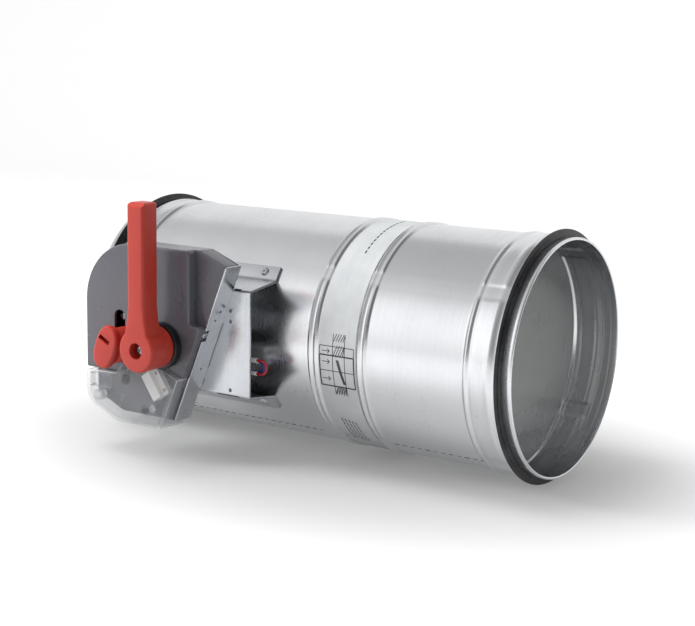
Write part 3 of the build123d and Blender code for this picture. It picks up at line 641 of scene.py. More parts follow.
# Bright zinc plating: a clean pale metal with fine scuffs that dull the shine in specks.
zinc_bright, tree = blank("bright_zinc_plating")
place = add(tree, "ShaderNodeTexCoord", {}, {})
scuff = add(tree, "ShaderNodeTexNoise", {}, {
    "Vector": place.outputs["Object"], "Scale": 1 / (SCUFF_MM * MM), "Detail": 3.0,
})
plated = add(tree, "ShaderNodeMix", {"data_type": "RGBA"}, {
    "Factor": scuff.outputs[0], 6: linear("#A6A8AC"), 7: linear("#C9CBCE"),
})
gloss = add(tree, "ShaderNodeMapRange", {}, {"Value": scuff.outputs[0], "To Min": 0.42, "To Max": 0.24})
surface = add(tree, "ShaderNodeBsdfPrincipled", {}, {
    "Base Color": plated.outputs[2], "Metallic": 1.0, "Roughness": gloss.outputs[0],
})
add(tree, "ShaderNodeOutputMaterial", {}, {"Surface": surface.outputs[0]})


def spun(profile, count=28):
    """A fastener spun round its own Z axis from (radius, height) points, in millimetres."""
    points = []
    faces = []
    for k in range(count):
        turn = 2 * math.pi * k / count
        points += [(r * math.cos(turn) * MM, r * math.sin(turn) * MM, h * MM) for r, h in profile]
    rows = len(profile)
    for k in range(count):
        n = (k + 1) % count
        faces += [(k * rows + j, n * rows + j, n * rows + j + 1, k * rows + j + 1) for j in range(rows - 1)]
    mesh = bpy.data.meshes.new("spun")
    mesh.from_pydata(points, [], faces)
    return close_mesh(mesh)


fasteners = bpy.data.node_groups.new("fasteners", "GeometryNodeTree")
fasteners.interface.new_socket("Geometry", in_out="OUTPUT", socket_type="NodeSocketGeometry")
fasteners.interface.new_socket("Geometry", in_out="INPUT", socket_type="NodeSocketGeometry")
fasteners.interface.new_socket("Fastener", in_out="INPUT", socket_type="NodeSocketObject")
fasteners.interface.new_socket("Size", in_out="INPUT", socket_type="NodeSocketFloat")
fasteners.interface.new_socket("Finish", in_out="INPUT", socket_type="NodeSocketMaterial")
given = add(fasteners, "NodeGroupInput", {}, {}).outputs
model = add(fasteners, "GeometryNodeObjectInfo", {}, {"Object": given["Fastener"]})
facing = add(fasteners, "GeometryNodeInputNamedAttribute", {"data_type": "FLOAT_VECTOR"}, {
    "Name": "facing",
})
laid = add(fasteners, "GeometryNodeInstanceOnPoints", {}, {
    "Points": given["Geometry"], "Instance": model.outputs["Geometry"],
    "Rotation": facing.outputs[0], "Scale": given["Size"],
})
solid = add(fasteners, "GeometryNodeRealizeInstances", {}, {"Geometry": laid.outputs[0]})
solid = add(fasteners, "GeometryNodeSetMaterial", {}, {
    "Geometry": solid.outputs[0], "Material": given["Finish"],
})
add(fasteners, "NodeGroupOutput", {}, {0: solid.outputs[0]})


def fastened(shape, seats, finish):
    """Repeat one fastener at (place in mm, turn) seats and return the plain mesh."""
    seats_mesh = bpy.data.meshes.new("seats")
    seats_mesh.from_pydata([Vector(at) * MM for at, _ in seats], [], [])
    facing_data = seats_mesh.attributes.new("facing", "FLOAT_VECTOR", "POINT")
    for item, (_, turn) in zip(facing_data.data, seats):
        item.vector = turn
    model_object = bpy.data.objects.new("fastener", shape)
    mesh = grown(fasteners, {"Fastener": model_object, "Size": 1.0, "Finish": finish}, seats_mesh)
    bpy.data.objects.remove(model_object)
    mesh.shade_smooth()
    mesh.set_sharp_from_angle(angle=math.radians(40))
    return mesh


rivet = spun([
    (0, 0.45), (0.7, 0.45), (0.85, 1.0), (1.3, 1.12), (2.0, 0.95), (2.7, 0.55), (3.05, 0.2), (3.1, -0.1),
    (0, -0.1),
])
seats = []
for x in (BRACKET_X[0] + RIVET_IN, BRACKET_X[1] - RIVET_IN):
    for side in (1, -1):
        y, z = polar(foot_r, side * RIVET_ANGLE)
        seats.append(((x, y, z), (math.radians(90 - side * RIVET_ANGLE), 0, 0)))
mesh = fastened(rivet, seats, zinc_bright)
piece("bracket_rivet_heads", mesh, zinc_bright, "casing", "zinc_steel", "bracket_rivets")

# Mechanism tray: 1 mm galvanised sheet between bracket and housing, with one leaning wall
# folded up along the housing's right side. The wall has punched holes and an edge notch.
LEAN = math.radians(21.9)
WALL_X = 130.9
WALL_TOP = 53.8
WALL_LOW = -56.9
TRAY_T = 1.0
WALL_RISE = 16.0
HOUSE_Y = PLATE_Y - TRAY_T
HOUSE_GAP = 1.4
TRAY_GAP = 0.2
NOTCH_Z = 5.5
NOTCH_HALF = 4.0
NOTCH_DEEP = 4.5
HOUSING_X0 = 30.5
HOUSING_TOP = 63.1
STEP_Z = -27.5


def lean_x(z, inset):
    """The leaning wall's X at height z, moved in by an inset square to it."""
    return WALL_X + math.tan(LEAN) * z - inset / math.cos(LEAN)


house = [
    (HOUSING_X0, STEP_Z), (HOUSING_X0, HOUSING_TOP), (127.9, HOUSING_TOP),
    (lean_x(WALL_TOP, HOUSE_GAP), WALL_TOP), (lean_x(WALL_LOW, HOUSE_GAP), WALL_LOW),
    (57.6, WALL_LOW), (40.7, -49.4), (34.5, -44.0), (34.5, STEP_Z),
]
base = list(house)
base[3] = (lean_x(WALL_TOP, TRAY_GAP), WALL_TOP)
base[4] = (lean_x(WALL_LOW, TRAY_GAP), WALL_LOW)
base = rounded(base, [0, 42, 1, 0, 0, 1, 1, 1, 0], 14)
tray = plate([base], -PLATE_Y, -HOUSE_Y, 0.12)
along = Vector((math.sin(LEAN), 0, math.cos(LEAN)))
square = Vector((math.cos(LEAN), 0, -math.sin(LEAN)))
wall_frame = Matrix((
    (along.x, 0, square.x, WALL_X * MM),
    (along.y, -1, square.y, PLATE_Y * MM),
    (along.z, 0, square.z, 0.0),
    (0, 0, 0, 1),
))
low_t, top_t = WALL_LOW / math.cos(LEAN), WALL_TOP / math.cos(LEAN)
notch_t = NOTCH_Z / math.cos(LEAN)
notch_floor = WALL_RISE - NOTCH_DEEP
wall_loop = [
    (low_t, 0), (top_t, 0), (top_t, WALL_RISE), (notch_t + NOTCH_HALF, WALL_RISE),
    (notch_t + NOTCH_HALF, notch_floor), (notch_t - NOTCH_HALF, notch_floor),
    (notch_t - NOTCH_HALF, WALL_RISE), (low_t, WALL_RISE),
]
wall_loop = rounded(wall_loop, [0, 0, 1.6, 0.6, 1.2, 1.2, 0.6, 1.6])
wall_holes = [circle(23.5, 6.2, 0.85, 16), circle(17.2, 8.8, 0.75, 16), circle(-21.0, 7.0, 0.7, 16)]
for t0, t1 in ((-21.0, 14.0), (-36.0, -30.0), (-48.0, -43.0), (44.0, 47.0)):
    wall_holes.append(rounded([(t0, 0.5), (t1, 0.5), (t1, 1.5), (t0, 1.5)], 0.4))
tray_wall = plate([wall_loop] + wall_holes, -TRAY_T, 0.0, 0.14, wall_frame)
tray = shaped(tray, ("UNION", tray_wall))
piece("tray_sheet", tray, dull_zinc, "casing", "galvanised_sheet", "mechanism_tray")

# Notch screw: a small pan head screw of zinc plated steel with a cross cut in its crown.
# It goes through the notch in the tray's wall and clamps it to the housing.


def cross_head(radius, height, shank, length):
    """A pan head screw along +Z with a cross cut in its crown, seated at Z = 0."""
    rim = radius * 0.97
    head = spun([
        (0, height), (radius * 0.45, height), (radius * 0.8, height * 0.86), (rim, height * 0.5),
        (radius, 0.1), (rim, 0.0), (shank, 0.0), (shank, -length + 0.3), (shank - 0.3, -length), (0, -length),
    ])
    arm = radius * 0.62
    wide = radius * 0.13
    flat = Matrix.Identity(4)
    bar = [(-arm, -wide), (arm, -wide), (arm, wide), (-arm, wide)]
    bar = plate([bar], height * 0.45, height + 1, 0.0, flat)
    rib = [(-wide, -arm), (wide, -arm), (wide, arm), (-wide, arm)]
    rib = plate([rib], height * 0.45, height + 1, 0.0, flat)
    return shaped(head, ("DIFFERENCE", bar), ("DIFFERENCE", rib))


screw = cross_head(2.3, 0.9, 1.0, 2.0)
notch_at = Vector((WALL_X, PLATE_Y - WALL_RISE + 2.6, 0.0)) + along * notch_t - square * 1.35
seats = [(tuple(notch_at), (0, math.pi / 2 + LEAN, 0))]
piece("notch_screw", fastened(screw, seats, zinc_bright), zinc_bright, "casing", "zinc_steel")

# Mechanism housing: a dark grey ABS moulding clipped on the tray, with a raised block,
# a sunk pocket at the upper right and a lower terrace that the clear cover closes.
FRONT_Y = HOUSE_Y - 20.0
TERRACE_Y = HOUSE_Y - 12.7
DRIVE = (102.3, -3.1)
BUTTON = (65.7, -7.0)
KEYHOLE = (62.3, 11.6)
KEYHOLE_R = 12.6
SLOT_HALF = 5.0
GLAND = (60.4, -34.3)
GLAND_R = 4.2
SHAFT_R = 6.2
SHELL_T = 2.0
CORNER_R = 42
DRILL = (90, 130)
# Grey ABS from a spark-eroded mould: dark and half shiny with a fine grain that breaks the glare,
# and a slow drift in tone where the plastic flowed. The grain is as coarse as it needs to show.
abs_grey, tree = blank("textured_abs_grey")
SPARK_MM = 0.55
FLOW_MM = 25.0
place = add(tree, "ShaderNodeTexCoord", {}, {})
spark = add(tree, "ShaderNodeTexNoise", {}, {
    "Vector": place.outputs["Object"], "Scale": 1 / (SPARK_MM * MM), "Detail": 2.0,
})
flow = add(tree, "ShaderNodeTexNoise", {}, {
    "Vector": place.outputs["Object"], "Scale": 1 / (FLOW_MM * MM), "Detail": 3.0,
})
grey = add(tree, "ShaderNodeMix", {"data_type": "RGBA"}, {
    "Factor": flow.outputs[0], 6: linear("#55555C"), 7: linear("#5F5F67"),
})
relief = add(tree, "ShaderNodeBump", {}, {
    "Height": spark.outputs[0], "Strength": 0.14, "Distance": 0.00005,
})
sheen = add(tree, "ShaderNodeMapRange", {}, {"Value": flow.outputs[0], "To Min": 0.22, "To Max": 0.31})
surface = add(tree, "ShaderNodeBsdfPrincipled", {}, {
    "Base Color": grey.outputs[2], "Roughness": sheen.outputs[0], "IOR": 1.54, "Normal": relief.outputs[0],
})
add(tree, "ShaderNodeOutputMaterial", {}, {"Surface": surface.outputs[0]})


def inset_loop(loop, amount):
    """A closed anticlockwise or clockwise loop moved inwards by an amount."""
    area = sum(a[0] * b[1] - b[0] * a[1] for a, b in zip(loop, loop[1:] + loop[:1]))
    sign = 1 if area > 0 else -1
    moved = []
    for i, here in enumerate(loop):
        a = (Vector(here) - Vector(loop[i - 1])).normalized()
        b = (Vector(loop[(i + 1) % len(loop)]) - Vector(here)).normalized()
        na, nb = Vector((-a.y, a.x)) * sign, Vector((-b.y, b.x)) * sign
        mid = (na + nb).normalized()
        moved.append(tuple(Vector(here) + mid * amount / max(mid.dot(na), 0.3)))
    return moved


block_low = [(62.0, -27.1), (66.5, -21.4), (79.0, -13.6), (89.0, -13.1)]
block = [
    (HOUSING_X0, -27.4), (HOUSING_X0, HOUSING_TOP), (124.3, HOUSING_TOP), (124.3, 12.2),
    (lean_x(12.2, HOUSE_GAP), 12.2), (lean_x(-25.19, HOUSE_GAP), -25.19),
] + block_low[::-1]
block_round = [1.4, CORNER_R, 3, 3, 1.4, 1.4, 2, 2, 1.5, 1.5]
house_round = [0.9, CORNER_R, 2.5, 2, 1.5, 2, 2, 2, 0]
keyhole = plate([circle(*BUTTON, KEYHOLE_R, 48)], *DRILL)
slot_left, slot_right, slot_end = KEYHOLE[0] - SLOT_HALF, KEYHOLE[0] + SLOT_HALF, KEYHOLE[1] + SLOT_HALF
slot_hole = [(slot_left, BUTTON[1]), (slot_right, BUTTON[1]), (slot_right, slot_end), (slot_left, slot_end)]
slot_hole = plate([rounded(slot_hole, [0, 0, 4.98, 4.98], 10)], *DRILL)
shell = plate([rounded(house, house_round, 16)], -HOUSE_Y, -TERRACE_Y, 0.7)
raised = plate([rounded(block, block_round, 16)], -HOUSE_Y + 1, -FRONT_Y, 1.3)
hollow = rounded(inset_loop(house, SHELL_T), [0, CORNER_R - SHELL_T, 1] + [0] * 6, 12)
hollow = plate([hollow], -HOUSE_Y - 2, -TERRACE_Y - SHELL_T)
hollow_block = rounded(inset_loop(block, SHELL_T + 0.2), [0, CORNER_R - SHELL_T - 0.2] + [0] * 8, 12)
hollow_block = plate([hollow_block], -HOUSE_Y - 3, -FRONT_Y - SHELL_T)
shaft_hole = plate([circle(*DRIVE, SHAFT_R)], *DRILL)
gland_hole = plate([circle(*GLAND, GLAND_R, 32)], *DRILL)
shell = shaped(
    shell, ("UNION", raised), ("DIFFERENCE", hollow), ("DIFFERENCE", hollow_block), ("DIFFERENCE", keyhole),
    ("DIFFERENCE", slot_hole), ("DIFFERENCE", shaft_hole), ("DIFFERENCE", gland_hole),
)
piece("housing_shell", shell, abs_grey, "casing", "housing_plastic", "mechanism_housing")

# Housing marks: raised lines moulded on the front beside the handle, an arc that shows
# its sweep with an arrow head at the open end, and two short end marks. They stand 0.2 mm proud.
MARK_W = 0.6
MARK_RISE = 0.22


def raised_line(path):
    """A raised rib along an X-Z path on a front face, as one closed loop."""
    left, right = [], []
    for i, here in enumerate(path):
        a = Vector(path[max(i - 1, 0)])
        b = Vector(path[min(i + 1, len(path) - 1)])
        along = (b - a).normalized()
        across = Vector((-along.y, along.x)) * MARK_W / 2
        left.append(tuple(Vector(here) + across))
        right.append(tuple(Vector(here) - across))
    return plate([left + right[::-1]], -FRONT_Y - 0.3, -FRONT_Y + MARK_RISE, 0.08, segments=1)


def on_drive(radius, degrees):
    """A point round the handle's axis, degrees clockwise from upright as seen from the front."""
    turn = math.radians(degrees)
    return (DRIVE[0] + radius * math.sin(turn), DRIVE[1] + radius * math.cos(turn))


mark_paths = [
    [on_drive(33.0, 13 + k * 1.6) for k in range(12)],
    [on_drive(35.2, 13 + k * 1.6) for k in range(12)],
    [on_drive(44.0, 19), on_drive(42.2, 22), on_drive(40.0, 24.4), on_drive(37.4, 26)],
    [on_drive(39.4, 27.6), on_drive(37.2, 26.2), on_drive(37.6, 22.8)],
    [on_drive(46.6, -33), on_drive(46.6, -29)], [on_drive(46.6, -40), on_drive(46.6, -37)],
]
marks = shaped(raised_line(mark_paths[0]))
for path in mark_paths[1:]:
    marks = shaped(marks, ("UNION", raised_line(path)))
piece("housing_marks", marks, abs_grey, "casing", "housing_plastic")

# Terminal cover: a clear polycarbonate lid over the lower terrace, injection moulded with a
# small pocket, a rib and two hollow posts, and held by a screw at the bottom of each post.
COVER_Y = TERRACE_Y - 11.8
COVER_WALL = 1.5
POSTS = ((43.7, -45.7), (88.6, -50.5))
POST_R = 4.2
POST_BORE_R = 3.2
POST_BORE_DEEP = 8.5
POST_SCREW_R = 1.65
NARROW_FACE = 0.4
# Clear polycarbonate: nearly unseen face on with a faint haze, milky where a wall is seen edge on.
clear, tree = blank("clear_polycarbonate")
HAZE_MM = 11.111
GLINT_MM = 14.286
edge_on = add(tree, "ShaderNodeLayerWeight", {}, {"Blend": 0.32})
place = add(tree, "ShaderNodeTexCoord", {}, {})
haze = add(tree, "ShaderNodeTexNoise", {}, {
    "Vector": place.outputs["Object"], "Scale": 1 / (HAZE_MM * MM), "Detail": 3.0,
})
milk = add(tree, "ShaderNodeMapRange", {}, {"Value": haze.outputs[0], "To Min": 0.06, "To Max": 0.12})
veil = add(tree, "ShaderNodeMath", {"operation": "POWER"}, {0: edge_on.outputs["Facing"], 1: 1.6})
veil = add(tree, "ShaderNodeMath", {"operation": "MULTIPLY_ADD"}, {
    0: veil.outputs[0], 1: 0.6, 2: milk.outputs[0],
})
surface = add(tree, "ShaderNodeBsdfPrincipled", {}, {
    "Base Color": linear("#C2C6CA"), "Roughness": 0.08, "IOR": 1.58, "Alpha": veil.outputs[0],
})
add(tree, "ShaderNodeOutputMaterial", {}, {"Surface": surface.outputs[0]})
# Its rounded edges are painted paler and more opaque, a painted highlight that shows them as broken white
# lines.
clear_edge_highlight, tree = blank("clear_polycarbonate_edge_highlight")
place = add(tree, "ShaderNodeTexCoord", {}, {})
painted_glints = add(tree, "ShaderNodeTexNoise", {}, {
    "Vector": place.outputs["Object"], "Scale": 1 / (GLINT_MM * MM), "Detail": 2.0,
})
veil = add(tree, "ShaderNodeMapRange", {}, {"Value": painted_glints.outputs[0], "To Min": 0.35, "To Max": 0.85})
surface = add(tree, "ShaderNodeBsdfPrincipled", {}, {
    "Base Color": linear("#DADDE0"), "Roughness": 0.15, "IOR": 1.58, "Alpha": veil.outputs[0],
})
add(tree, "ShaderNodeOutputMaterial", {}, {"Surface": surface.outputs[0]})
HUB_CLEAR = 16.6
hub_turns = [math.radians(219.8 + (276.6 - 219.8) * k / 10) for k in range(11)]
lid = [(34.5, -28.0), (62.0, -27.5), (66.5, -21.8), (79.0, -14.0)]
lid += [(DRIVE[0] + HUB_CLEAR * math.cos(a), DRIVE[1] + HUB_CLEAR * math.sin(a)) for a in hub_turns]
lid += [(117.8, -25.0), (102.7, -61.4), (62.6, -61.5), (39.8, -51.5), (34.5, -44.0)]
lid_round = [1.2, 1, 1, 1] + [0] * len(hub_turns) + [1, 1.2, 5, 14, 9]
cover = plate([rounded(lid, lid_round)], -TERRACE_Y, -COVER_Y, 0.7)
lid_room = rounded(inset_loop(lid, COVER_WALL), 0)
lid_room = plate([lid_room], -TERRACE_Y - 1, -COVER_Y - COVER_WALL)
skirt = [(39.8, -51.5), (62.6, -61.5), (102.7, -61.4), (103.3, -59.9), (62.9, -60.0), (40.5, -50.15)]
skirt = plate([skirt], -HOUSE_Y, -TERRACE_Y + 0.5, 0.2)
steps = [("DIFFERENCE", lid_room), ("UNION", skirt)]
for post in POSTS:
    steps.append(("UNION", plate([circle(*post, POST_R, 32)], -TERRACE_Y + 0.02, -COVER_Y - 0.5)))
for post in POSTS:
    bore = plate([circle(*post, POST_BORE_R, 32)], -COVER_Y - POST_BORE_DEEP, -COVER_Y + 1)
    pilot = plate([circle(*post, POST_SCREW_R, 24)], -TERRACE_Y - 1, -COVER_Y - POST_BORE_DEEP + 0.5)
    steps += [("DIFFERENCE", bore), ("DIFFERENCE", pilot)]
pocket_walls = rounded([(36.8, -30.0), (53.0, -30.0), (53.0, -40.4), (36.8, -40.4)], 1.2)
pocket_room = rounded([(37.6, -30.8), (52.2, -30.8), (52.2, -39.6), (37.6, -39.6)], 0.8)
steps.append(("UNION", plate([pocket_walls, pocket_room], -COVER_Y - 6, -COVER_Y - 0.4)))
rib = [(97.2, -60.6), (98.4, -60.6), (110.6, -31.2), (109.4, -31.2)]
steps.append(("UNION", plate([rib], -TERRACE_Y + 0.02, -COVER_Y - 0.4)))
cover = shaped(cover, *steps)
piece("cover_lid", cover, clear, "casing", "clear_plastic", "terminal_cover")
# The narrow edge faces take the painted edge highlight.
cover.materials.append(clear_edge_highlight)
for face in cover.polygons:
    sides = [(cover.vertices[a].co - cover.vertices[b].co).length for a, b in face.edge_keys]
    if face.area / max(sides) < NARROW_FACE * MM and abs(face.normal.y) < 0.97:
        face.material_index = 1

# Cover screws: small zinc plated pan heads with a cross recess, one at the bottom of each post,
# and a longer one of the same kind that is seen down the housing's keyhole slot.
QUARTER = math.radians(90)
screw = cross_head(3.0, 1.0, 1.6, 3.0)
seats = []
for k, (x, z) in enumerate(POSTS):
    seats.append(((x, COVER_Y + POST_BORE_DEEP, z), (QUARTER, math.radians(20 * k), 0)))
mesh = fastened(screw, seats, zinc_bright)
piece("cover_screw_heads", mesh, zinc_bright, "casing", "zinc_steel", "cover_screws")
screw = cross_head(3.2, 2.0, 2.4, 12.0)
mesh = fastened(screw, [((60.0, TERRACE_Y, 11.2), (QUARTER, 0, 0))], zinc_bright)
piece("keyhole_screw", mesh, zinc_bright, "casing", "zinc_steel", "latch_screw")

# Terminal block: a white PBT moulding that leans on the terrace under the clear cover.
# Its outer half steps down to a ledge, with a clamp well near each end of the ledge.
BLOCK_AT = (93.0, -32.2)
BLOCK_TILT = 35
BLOCK_HALF = (6.5, 10)
BLOCK_RISE = 8
WELL_R = 1.5
# White PBT: clean, slightly shiny white with the faintest warm drift.
pbt = mottled(
    "white_pbt", patch_mm=8.333, detail=2.0, dark="#EEEEED", light="#FAFAF9",
    sockets={"Roughness": 0.38, "IOR": 1.55},
)


def leaning(points):
    """Points of the terminal block turned with it and moved to its place."""
    c, s = math.cos(math.radians(BLOCK_TILT)), math.sin(math.radians(BLOCK_TILT))
    return [(BLOCK_AT[0] + u * c - v * s, BLOCK_AT[1] + u * s + v * c) for u, v in points]


half, tall = BLOCK_HALF
box = rounded([(-half, -tall), (half, -tall), (half, tall), (-half, tall)], 0.8)
terminal = plate([leaning(box)], -TERRACE_Y, -TERRACE_Y + BLOCK_RISE, 0.5)
wells = []
for step in (-6.6, 6.6):
    well = leaning(circle(4.3, step, WELL_R, 20))
    wells.append(("DIFFERENCE", plate([well], -TERRACE_Y + 2, -TERRACE_Y + 6)))
ledge = leaning([(1.6, -tall - 1), (half + 1, -tall - 1), (half + 1, tall + 1), (1.6, tall + 1)])
wells.append(("DIFFERENCE", plate([ledge], -TERRACE_Y + 4.6, -TERRACE_Y + BLOCK_RISE + 1)))
piece("terminal_box", shaped(terminal, *wells), pbt, "casing", "white_plastic", "terminal_block")

# Shaft collar: a black acetal ring on the housing front that the handle's hub turns against.
# It is turned from bar with eased edges and bored to run on the drive shaft.
COLLAR_R = 15.8
COLLAR_BORE = 5.05
COLLAR_RISE = 6.0
# Black acetal: deep black with a soft wax-like shine, rubbed slightly grey in patches.
acetal = mottled(
    "black_acetal", patch_mm=3.333, detail=3.0, dark="#0E0E10", light="#1C1C1F",
    sockets={"Roughness": 0.42},
)
collar = [circle(*DRIVE, COLLAR_R, 96), circle(*DRIVE, COLLAR_BORE, 40)]
collar = plate(collar, -FRONT_Y, -FRONT_Y + COLLAR_RISE, 0.7)
piece("collar_ring", collar, acetal, "casing", "black_plastic", "shaft_collar")

# Reset handle: one red ABS moulding, an upright bar with eased edges that widens into a round
# eye, and a hub behind it that takes the shaft. A screw sits deep in a well in the eye.
HUB_BACK = FRONT_Y - 6.4
HUB_FRONT = HUB_BACK - 22.1
BAR_D = 15.0
EYE_R = 14.8
EYE_WELL_R = 5.5
EYE_WELL_DEEP = 7.0
BAR_HALF = 7.0
BAR_TOP = DRIVE[1] + 98.8
# Red ABS from an etched mould: an even signal red, satin, with a grain that softens the highlights.
red_abs, tree = blank("red_abs")
ETCH_MM = 0.6
DRIFT_MM = 22.222
place = add(tree, "ShaderNodeTexCoord", {}, {})
grain = add(tree, "ShaderNodeTexNoise", {}, {
    "Vector": place.outputs["Object"], "Scale": 1 / (ETCH_MM * MM), "Detail": 2.0,
})
drift = add(tree, "ShaderNodeTexNoise", {}, {
    "Vector": place.outputs["Object"], "Scale": 1 / (DRIFT_MM * MM), "Detail": 3.0,
})
red = add(tree, "ShaderNodeMix", {"data_type": "RGBA"}, {
    "Factor": drift.outputs[0], 6: linear("#B63326"), 7: linear("#BD3A2C"),
})
relief = add(tree, "ShaderNodeBump", {}, {
    "Height": grain.outputs[0], "Strength": 0.22, "Distance": 0.00006,
})
surface = add(tree, "ShaderNodeBsdfPrincipled", {}, {
    "Base Color": red.outputs[2], "Roughness": 0.42, "IOR": 1.54, "Normal": relief.outputs[0],
})
add(tree, "ShaderNodeOutputMaterial", {}, {"Surface": surface.outputs[0]})
eye = [on_drive(EYE_R, a) for a in range(42, 320, 4)]
left, right = DRIVE[0] - BAR_HALF, DRIVE[0] + BAR_HALF
outline = [(left, BAR_TOP), (right, BAR_TOP), (right, DRIVE[1] + 30), (right + 0.9, DRIVE[1] + 21.5)]
outline += eye + [(left - 0.9, DRIVE[1] + 21.5), (left, DRIVE[1] + 30)]
outline = rounded(outline, [2.2, 2.2, 30, 10] + [0] * len(eye) + [10, 30], 8)
handle = plate([outline], -HUB_FRONT - BAR_D, -HUB_FRONT, 1.9, segments=5)
hub = plate([circle(*DRIVE, EYE_R - 0.35, 96)], -HUB_BACK, -HUB_FRONT - 3, 0.5)
nose = [(HUB_FRONT + 4.5, BAR_TOP + 1), (HUB_FRONT - 1, BAR_TOP + 1), (HUB_FRONT - 1, BAR_TOP - 3.6)]
nose = plate([nose], DRIVE[0] - 20, DRIVE[0] + 20, 0.0, FACING_OUTLET)
well = plate([circle(*DRIVE, EYE_WELL_R, 48)], -HUB_FRONT - EYE_WELL_DEEP, -HUB_FRONT + 2)
bore = plate([circle(*DRIVE, 5.0, 40)], -HUB_BACK - 1, -HUB_BACK + 13)
thread = plate([circle(*DRIVE, 2.2, 24)], -HUB_BACK + 12, -HUB_FRONT - EYE_WELL_DEEP + 1)
handle = shaped(
    handle, ("UNION", hub), ("DIFFERENCE", nose), ("DIFFERENCE", well), ("DIFFERENCE", bore),
    ("DIFFERENCE", thread),
)
piece("reset_handle", handle, red_abs, "drive", "red_plastic", "lever_handle")
screw = cross_head(4.0, 2.6, 2.2, 11.0)
seats = [((DRIVE[0], HUB_FRONT + EYE_WELL_DEEP, DRIVE[1]), (QUARTER, math.radians(25), 0))]
mesh = fastened(screw, seats, zinc_bright)
piece("handle_eye_screw", mesh, zinc_bright, "drive", "zinc_steel", "handle_screw")

# Release button: a red ABS boss in the housing's keyhole with a leaning oval paddle on it,
# moulded in one and pierced by a slot for the lead seal.
PADDLE_AT = (64.7, -7.0)
PADDLE_TILT = 21.0
PADDLE_HALF = (9.2, 15.6)
PADDLE_POWER = 0.8
PADDLE_Y = FRONT_Y - 18.5
SEAL_AT = (64.7, -1.4)
SEAL_TILT = 28.0
SEAL_HALF = (4.9, 1.6)
BOSS_R = 12.0


def tilted(points, centre, degrees):
    """Points turned clockwise as seen from the front and moved to a centre."""
    c, s = math.cos(math.radians(degrees)), math.sin(math.radians(degrees))
    return [(centre[0] + u * c + v * s, centre[1] - u * s + v * c) for u, v in points]


paddle = []
for u, v in circle(0, 0, 1, 72):
    paddle.append((
        PADDLE_HALF[0] * math.copysign(abs(u) ** PADDLE_POWER, u),
        PADDLE_HALF[1] * math.copysign(abs(v) ** PADDLE_POWER, v),
    ))
button = plate([tilted(paddle, PADDLE_AT, PADDLE_TILT)], -PADDLE_Y - 6, -PADDLE_Y, 1.8, segments=5)
boss = plate([circle(*BUTTON, BOSS_R, 72)], -FRONT_Y - 5, -PADDLE_Y - 5, 0.6)
half, tall = SEAL_HALF
seal_slot = tilted([(-half, -tall), (half, -tall), (half, tall), (-half, tall)], SEAL_AT, SEAL_TILT)
seal_slot = plate([seal_slot], -PADDLE_Y - 4, -PADDLE_Y + 1)
button = shaped(button, ("UNION", boss), ("DIFFERENCE", seal_slot))
piece("release_paddle", button, red_abs, "button", "red_plastic", "release_button")

# Leads: a red and a blue PVC insulated wire, each looped out of a white connector behind
# the bracket plate and back, with short white sleeves where they leave it.
WIRE_FROM = 150.0
WIRE_D = 1.8
# PVC insulation, extruded: a clear even colour with a smooth wet shine, a little darker in patches.
for name, node, dark, colour, y, z_top, z_low, x_far, x_bend in (
    ("red_wire", "red_lead", "#A20F1B", "#B3121F", -91.0, -10.8, -20.0, 168.1, 158.6),
    ("blue_wire", "blue_lead", "#1F277E", "#232C8C", -88.4, -12.2, -19.4, 164.1, 156.0),
):
    pvc = mottled(
        name + "_pvc", patch_mm=2.0, detail=2.0, dark=dark, light=colour,
        sockets={"Roughness": 0.3, "IOR": 1.53},
    )
    route = (
        (WIRE_FROM, z_top), (x_bend, z_top), (x_far, z_top),
        (x_far, z_low), (x_bend, z_low), (WIRE_FROM, z_low),
    )
    curve = bpy.data.curves.new(name, "CURVE")
    curve.dimensions = "3D"
    curve.bevel_depth = WIRE_D / 2 * MM
    curve.bevel_resolution = 4
    curve.use_fill_caps = True
    spline = curve.splines.new("NURBS")
    spline.points.add(len(route) - 1)
    for point, (x, z) in zip(spline.points, route):
        point.co = (x * MM, y * MM, z * MM, 1.0)
    spline.order_u = 3
    spline.use_endpoint_u = True
    spline.resolution_u = 12
    curve.materials.append(pvc)
    wire = bpy.data.objects.new(name, curve)
    bpy.context.scene.collection.objects.link(wire)
    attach(wire, "casing")
    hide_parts(node)

# Inner pieces that keep their CAD shape: stops, pins, linkage and latch in zinc plated steel,
# bushes and fuse in bronze, a fire board blade with its rubber rim and swelling strips.
# Sintered bronze: a warm brown metal, speckled by the pores that hold its oil.
bronze = mottled(
    "sintered_bronze", patch_mm=0.5, detail=2.0, dark="#8A6234", light="#C39A5C",
    sockets={"Metallic": 1.0, "Roughness": 0.4},
)
# Graphite strip: dull dark grey with flakes that catch a little light.
graphite = mottled(
    "graphite_strip", patch_mm=1.25, detail=3.0, dark="#232325", light="#4A4A4D",
    sockets={"Roughness": 0.6},
)
# Calcium silicate board: chalky, almost white and fully matt, with short fibres in its face.
CHALK_MM = 6.25
FIBRE_MM = 2.381
board, tree = blank("calcium_silicate_board")
place = add(tree, "ShaderNodeTexCoord", {}, {})
chalk = add(tree, "ShaderNodeTexNoise", {}, {
    "Vector": place.outputs["Object"], "Scale": 1 / (CHALK_MM * MM), "Detail": 6.0, "Roughness": 0.7,
})
fibre = add(tree, "ShaderNodeTexVoronoi", {"feature": "DISTANCE_TO_EDGE"}, {
    "Vector": place.outputs["Object"], "Scale": 1 / (FIBRE_MM * MM),
})
cream = add(tree, "ShaderNodeMix", {"data_type": "RGBA"}, {
    "Factor": chalk.outputs[0], 6: linear("#CBCAC6"), 7: linear("#E4E3E0"),
})
relief = add(tree, "ShaderNodeBump", {}, {"Height": fibre.outputs[0], "Strength": 0.3, "Distance": 0.0002})
surface = add(tree, "ShaderNodeBsdfPrincipled", {}, {
    "Base Color": cream.outputs[2], "Roughness": 0.85, "Normal": relief.outputs[0],
})
